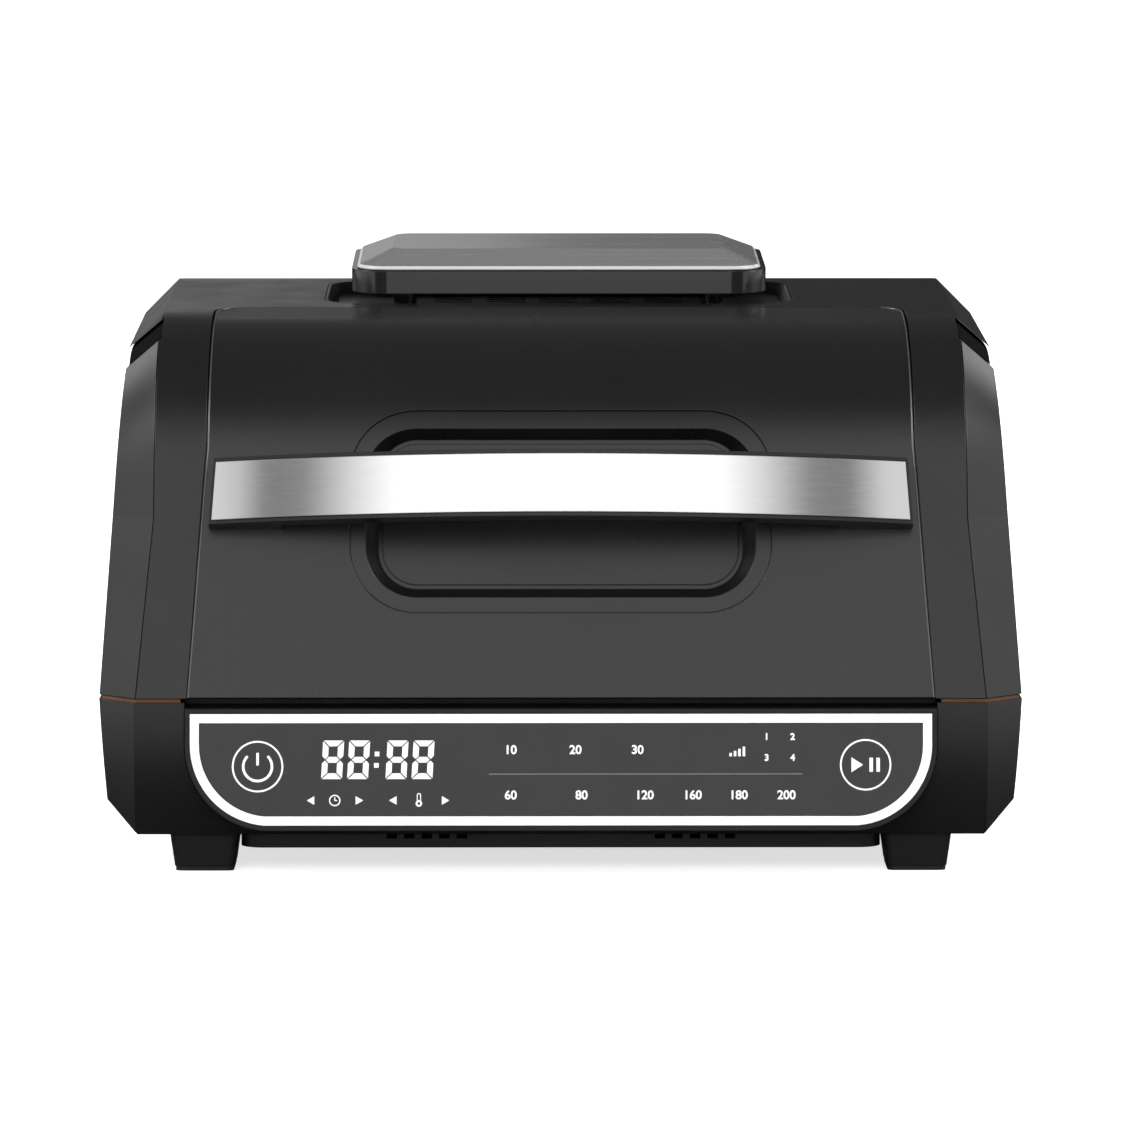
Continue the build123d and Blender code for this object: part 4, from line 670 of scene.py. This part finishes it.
sign(
    "sign_arrows",
    [arrow((x, ARROW_ROW), way, ARROW_WIDTH, ARROW_HEIGHT)[0] for x, way in ARROWS],
)
sign(
    "sign_clock",
    ring(CLOCK, CLOCK_RADIUS, CLOCK_LINE)
    + bar(beside(CLOCK, y=LONG_HAND / 2), HAND_LINE, LONG_HAND)
    + bar(beside(CLOCK, SHORT_HAND_OFFSET), SHORT_HAND, HAND_LINE),
)
sign(
    "sign_thermometer",
    ring(beside(THERMOMETER, y=-BULB_DROP), BULB_RADIUS, BULB_LINE)
    + bar(beside(THERMOMETER, -TUBE_RADIUS, TUBE_RISE), TUBE_LINE, TUBE_HEIGHT)
    + bar(beside(THERMOMETER, TUBE_RADIUS, TUBE_RISE), TUBE_LINE, TUBE_HEIGHT)
    + ring(beside(THERMOMETER, y=TUBE_TOP), TUBE_RADIUS, TUBE_LINE, 0.0, 180.0),
)

# Programme numbers over and under the separator line
SEPARATOR = (36.4, -28.1)
SEPARATOR_LENGTH, SEPARATOR_LINE = 135.0, 0.3
TIME_ROW = -17.8
TIMES = ((-21.7, "10"), (6.2, "20"), (32.9, "30"))
HEAT_ROW = -37.3
HEATS = ((-21.7, "60"), (8.8, "80"), (35.9, "120"), (56.6, "160"), (76.4, "180"), (97.0, "200"))
NUMBER_HEIGHT = 3.7

sign("sign_line", bar(SEPARATOR, SEPARATOR_LENGTH, SEPARATOR_LINE), line_ink)
for order, (x, text) in enumerate(TIMES, 1):
    number(f"sign_time_{order}", text, (x, TIME_ROW), NUMBER_HEIGHT)
for order, (x, text) in enumerate(HEATS, 1):
    number(f"sign_heat_{order}", text, (x, HEAT_ROW), NUMBER_HEIGHT)

# Grill levels: four growing bars and the numbers 1 to 4
BARS = 4
BARS_START = (73.0, -19.8)
BARS_PITCH = 1.9
BAR_WIDTH, BAR_HEIGHT, BAR_GROWTH = 1.1, 1.4, 0.9
LEVELS = ((88.5, -12.2), (99.7, -12.2), (88.5, -21.2), (99.7, -21.2))
LEVEL_HEIGHT = 2.8

growing = []
for step in range(BARS):
    middle = beside(BARS_START, BARS_PITCH * step, BAR_GROWTH / 2 * step)
    growing += bar(middle, BAR_WIDTH, BAR_HEIGHT + BAR_GROWTH * step)
sign("sign_level", growing)
for order, place in enumerate(LEVELS, 1):
    number(f"sign_level_{order}", str(order), place, LEVEL_HEIGHT)


# Polished rounded edges down both sides of the front panel, read off its mesh, in a grey lighter
# than the panel that paints their highlight. The side edges lie outside EDGE_FROM and fold by more
# than EDGE_FOLD, between a face that points sideways and one that points to the front or up.

EDGE_FROM = 140.0 * MM
EDGE_FOLD = math.radians(50)
EDGE_SIDEWAYS = 0.3
EDGE_FRONT = 0.2
EDGE_UPWARD = 0.9
EDGE_RADIUS = 0.38 * MM
EDGE_SINK = 0.24 * MM


def is_side_edge(edge, way):
    """Whether a mesh edge is part of the front panel's outer edge on one side."""
    if len(edge.link_faces) != 2 or min(way * v.co.x for v in edge.verts) < EDGE_FROM:
        return False
    front, side = sorted((face.normal for face in edge.link_faces), key=lambda n: abs(n.x))
    sideways = abs(side.x) > EDGE_SIDEWAYS and abs(front.x) < EDGE_FRONT
    outward = front.y < -EDGE_FRONT or front.z > EDGE_UPWARD
    return sideways and outward and front.angle(side) > EDGE_FOLD


def rim_points(way):
    """Points along one side edge of the front panel, from the bottom up."""
    mesh = bmesh.new()
    mesh.from_mesh(nodes["front_panel"].data)
    bmesh.ops.remove_doubles(mesh, verts=mesh.verts, dist=WELD)
    points = {tuple(v.co) for edge in mesh.edges if is_side_edge(edge, way) for v in edge.verts}
    mesh.free()
    return sorted(points, key=lambda point: point[2])


def rounded_edge(name, way, finish):
    """A fine bead set into the panel's side edge."""
    points = rim_points(way)
    curve = bpy.data.curves.new(name, "CURVE")
    curve.dimensions = "3D"
    curve.bevel_depth = EDGE_RADIUS
    curve.bevel_resolution = 3
    curve.use_fill_caps = True
    spline = curve.splines.new("POLY")
    spline.points.add(len(points) - 1)
    for knot, (x, y, z) in zip(spline.points, points):
        knot.co = (x - way * EDGE_SINK, y, z, 1.0)
    data = curve_mesh(name, curve)
    data.materials.append(finish)
    for face in data.polygons:
        face.use_smooth = True
    piece = bpy.data.objects.new(name, data)
    bpy.context.scene.collection.objects.link(piece)
    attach(piece, "hood")


# Painted highlight: the beads are grey 74 against the panel's 20, made lighter to show the edges'
# highlight line
edge_highlight_finish = satin_face("edge_painted_highlight", 74, 0.2, gloss=0.8)
rounded_edge("panel_edge_left", -1, edge_highlight_finish)
rounded_edge("panel_edge_right", 1, edge_highlight_finish)


# Stage


def floor_finish():
    """White floor with the object's soft shadow.

    In reflections it darkens towards the object as painted shade, in strips beside it, and far
    behind.
    """
    made = Finish("floor_white", grey(238), roughness=0.7)
    made.mottle(share=0.01, scale=3.0)
    paths = made.add("ShaderNodeLightPath")
    seen = paths.outputs["Is Camera Ray"]
    made.set("Emission Color", WHITE)
    made.set("Emission Strength", calculate(made.tree, "MULTIPLY", seen, FLOOR_GLOW))

    distance = made.add("ShaderNodeVectorMath")
    distance.operation = "LENGTH"
    made.link(made.place, distance.inputs[0])
    share = made.spread(distance.outputs["Value"], 0.0, 1.0, 0.0, FLOOR_REACH)
    split = made.add("ShaderNodeSeparateXYZ")
    made.link(made.place, split.inputs["Vector"])
    aside = calculate(made.tree, "ABSOLUTE", split.outputs["X"])
    ahead = calculate(made.tree, "ABSOLUTE", split.outputs["Y"])
    slope = made.spread(calculate(made.tree, "DIVIDE", aside, ahead), 0.0, 1.0, 0.0, FLAG_REACH)
    strips = [(place / FLAG_REACH, level) for place, level in FLAG]
    # Painted shade: in reflections the floor grows dark near the object
    tint = blended(
        made.tree,
        1.0,
        grey_ramp(made.tree, share, FLOOR_MIRRORED),
        grey_ramp(made.tree, slope, strips),
        "MULTIPLY",
    )
    mirrored = made.add("ShaderNodeEmission")
    made.link(tint, mirrored.inputs["Color"])
    fading = made.spread(split.outputs["Y"], 1.0, FLOOR_BACK, *FLOOR_BACK_REACH)
    made.link(fading, mirrored.inputs["Strength"])

    either = made.add("ShaderNodeMixShader")
    made.link(paths.outputs["Is Glossy Ray"], either.inputs["Fac"])
    made.link(made.shader.outputs["BSDF"], either.inputs[1])
    made.link(mirrored.outputs["Emission"], either.inputs[2])
    made.link(either.outputs["Shader"], made.tree.nodes["Material Output"].inputs["Surface"])
    return made.material


def stage_floor():
    """The floor that the object stands on."""
    mesh = bpy.data.meshes.new("floor")
    corners = [(x * FLOOR_HALF, y * FLOOR_HALF, 0) for x, y in ((-1, -1), (1, -1), (1, 1), (-1, 1))]
    mesh.from_pydata(corners, [], [(0, 1, 2, 3)])
    mesh.materials.append(floor_finish())
    floor = bpy.data.objects.new("floor", mesh)
    bpy.context.scene.collection.objects.link(floor)


def studio_world():
    """White backdrop for the camera, studio walls and ceiling in reflections, even light else."""
    world = bpy.data.worlds.new("studio")
    world.use_nodes = True
    bpy.context.scene.world = world
    tree = world.node_tree
    split = tree.nodes.new("ShaderNodeSeparateXYZ")
    tree.links.new(
        tree.nodes.new("ShaderNodeTexCoord").outputs["Generated"], split.inputs["Vector"]
    )
    side, depth, height = split.outputs
    turn = calculate(tree, "ARCTAN2", side, calculate(tree, "MULTIPLY", depth, -1.0))
    around = calculate(tree, "ADD", calculate(tree, "DIVIDE", turn, 2 * math.pi), 0.5)
    rise = blended(
        tree,
        grey_ramp(tree, depth, BACKWARD),
        grey_ramp(tree, height, FRONT_RISE),
        grey_ramp(tree, height, BACK_RISE),
    )
    walls = grey_ramp(tree, around, STUDIO_WALLS)
    studio = blended(tree, rise, walls, (*[STUDIO_CEILING] * 3, 1.0))
    paths = tree.nodes.new("ShaderNodeLightPath").outputs
    mirrored = calculate(tree, "MAXIMUM", paths["Is Glossy Ray"], paths["Is Transmission Ray"])
    lit = blended(tree, mirrored, (*[AMBIENT] * 3, 1.0), studio)
    shown = blended(tree, paths["Is Camera Ray"], lit, WHITE)
    tree.links.new(shown, tree.nodes["Background"].inputs["Color"])


def softbox(name, place, aim_height, width, height, power, mirrored):
    """Large rectangular studio lamp aimed at the object, with or without its own reflection."""
    lamp = bpy.data.lights.new(name, "AREA")
    lamp.shape = "RECTANGLE"
    lamp.size = width
    lamp.size_y = height
    lamp.energy = power
    holder = bpy.data.objects.new(name, lamp)
    holder.location = place
    aim = Vector((0.0, 0.0, aim_height)) - Vector(place)
    holder.rotation_euler = aim.to_track_quat("-Z", "Y").to_euler()
    holder.visible_glossy = mirrored
    bpy.context.scene.collection.objects.link(holder)


def add_camera():
    """Camera at the photograph's viewing angle."""
    data = bpy.data.cameras.new("camera")
    data.sensor_width = SENSOR
    data.lens = FOCAL_PIXELS / PHOTO_SIZE * SENSOR
    data.shift_x = (PHOTO_SIZE / 2 - AXIS_PIXEL[0]) / PHOTO_SIZE
    data.shift_y = (AXIS_PIXEL[1] - PHOTO_SIZE / 2) / PHOTO_SIZE
    data.clip_end = CAMERA_REACH
    camera = bpy.data.objects.new("camera", data)
    turn, rise = math.radians(CAMERA_TURN), math.radians(CAMERA_RISE)
    level = math.cos(rise)
    back = Vector((math.sin(turn) * level, -math.cos(turn) * level, math.sin(rise)))
    camera.location = CAMERA_TARGET + back * CAMERA_DISTANCE
    camera.rotation_euler = (math.pi / 2 - rise, 0.0, turn)
    bpy.context.scene.collection.objects.link(camera)
    bpy.context.scene.camera = camera


stage_floor()
studio_world()
for lamp in LAMPS:
    softbox(*lamp)
add_camera()
bpy.context.scene.view_settings.view_transform = "Standard"
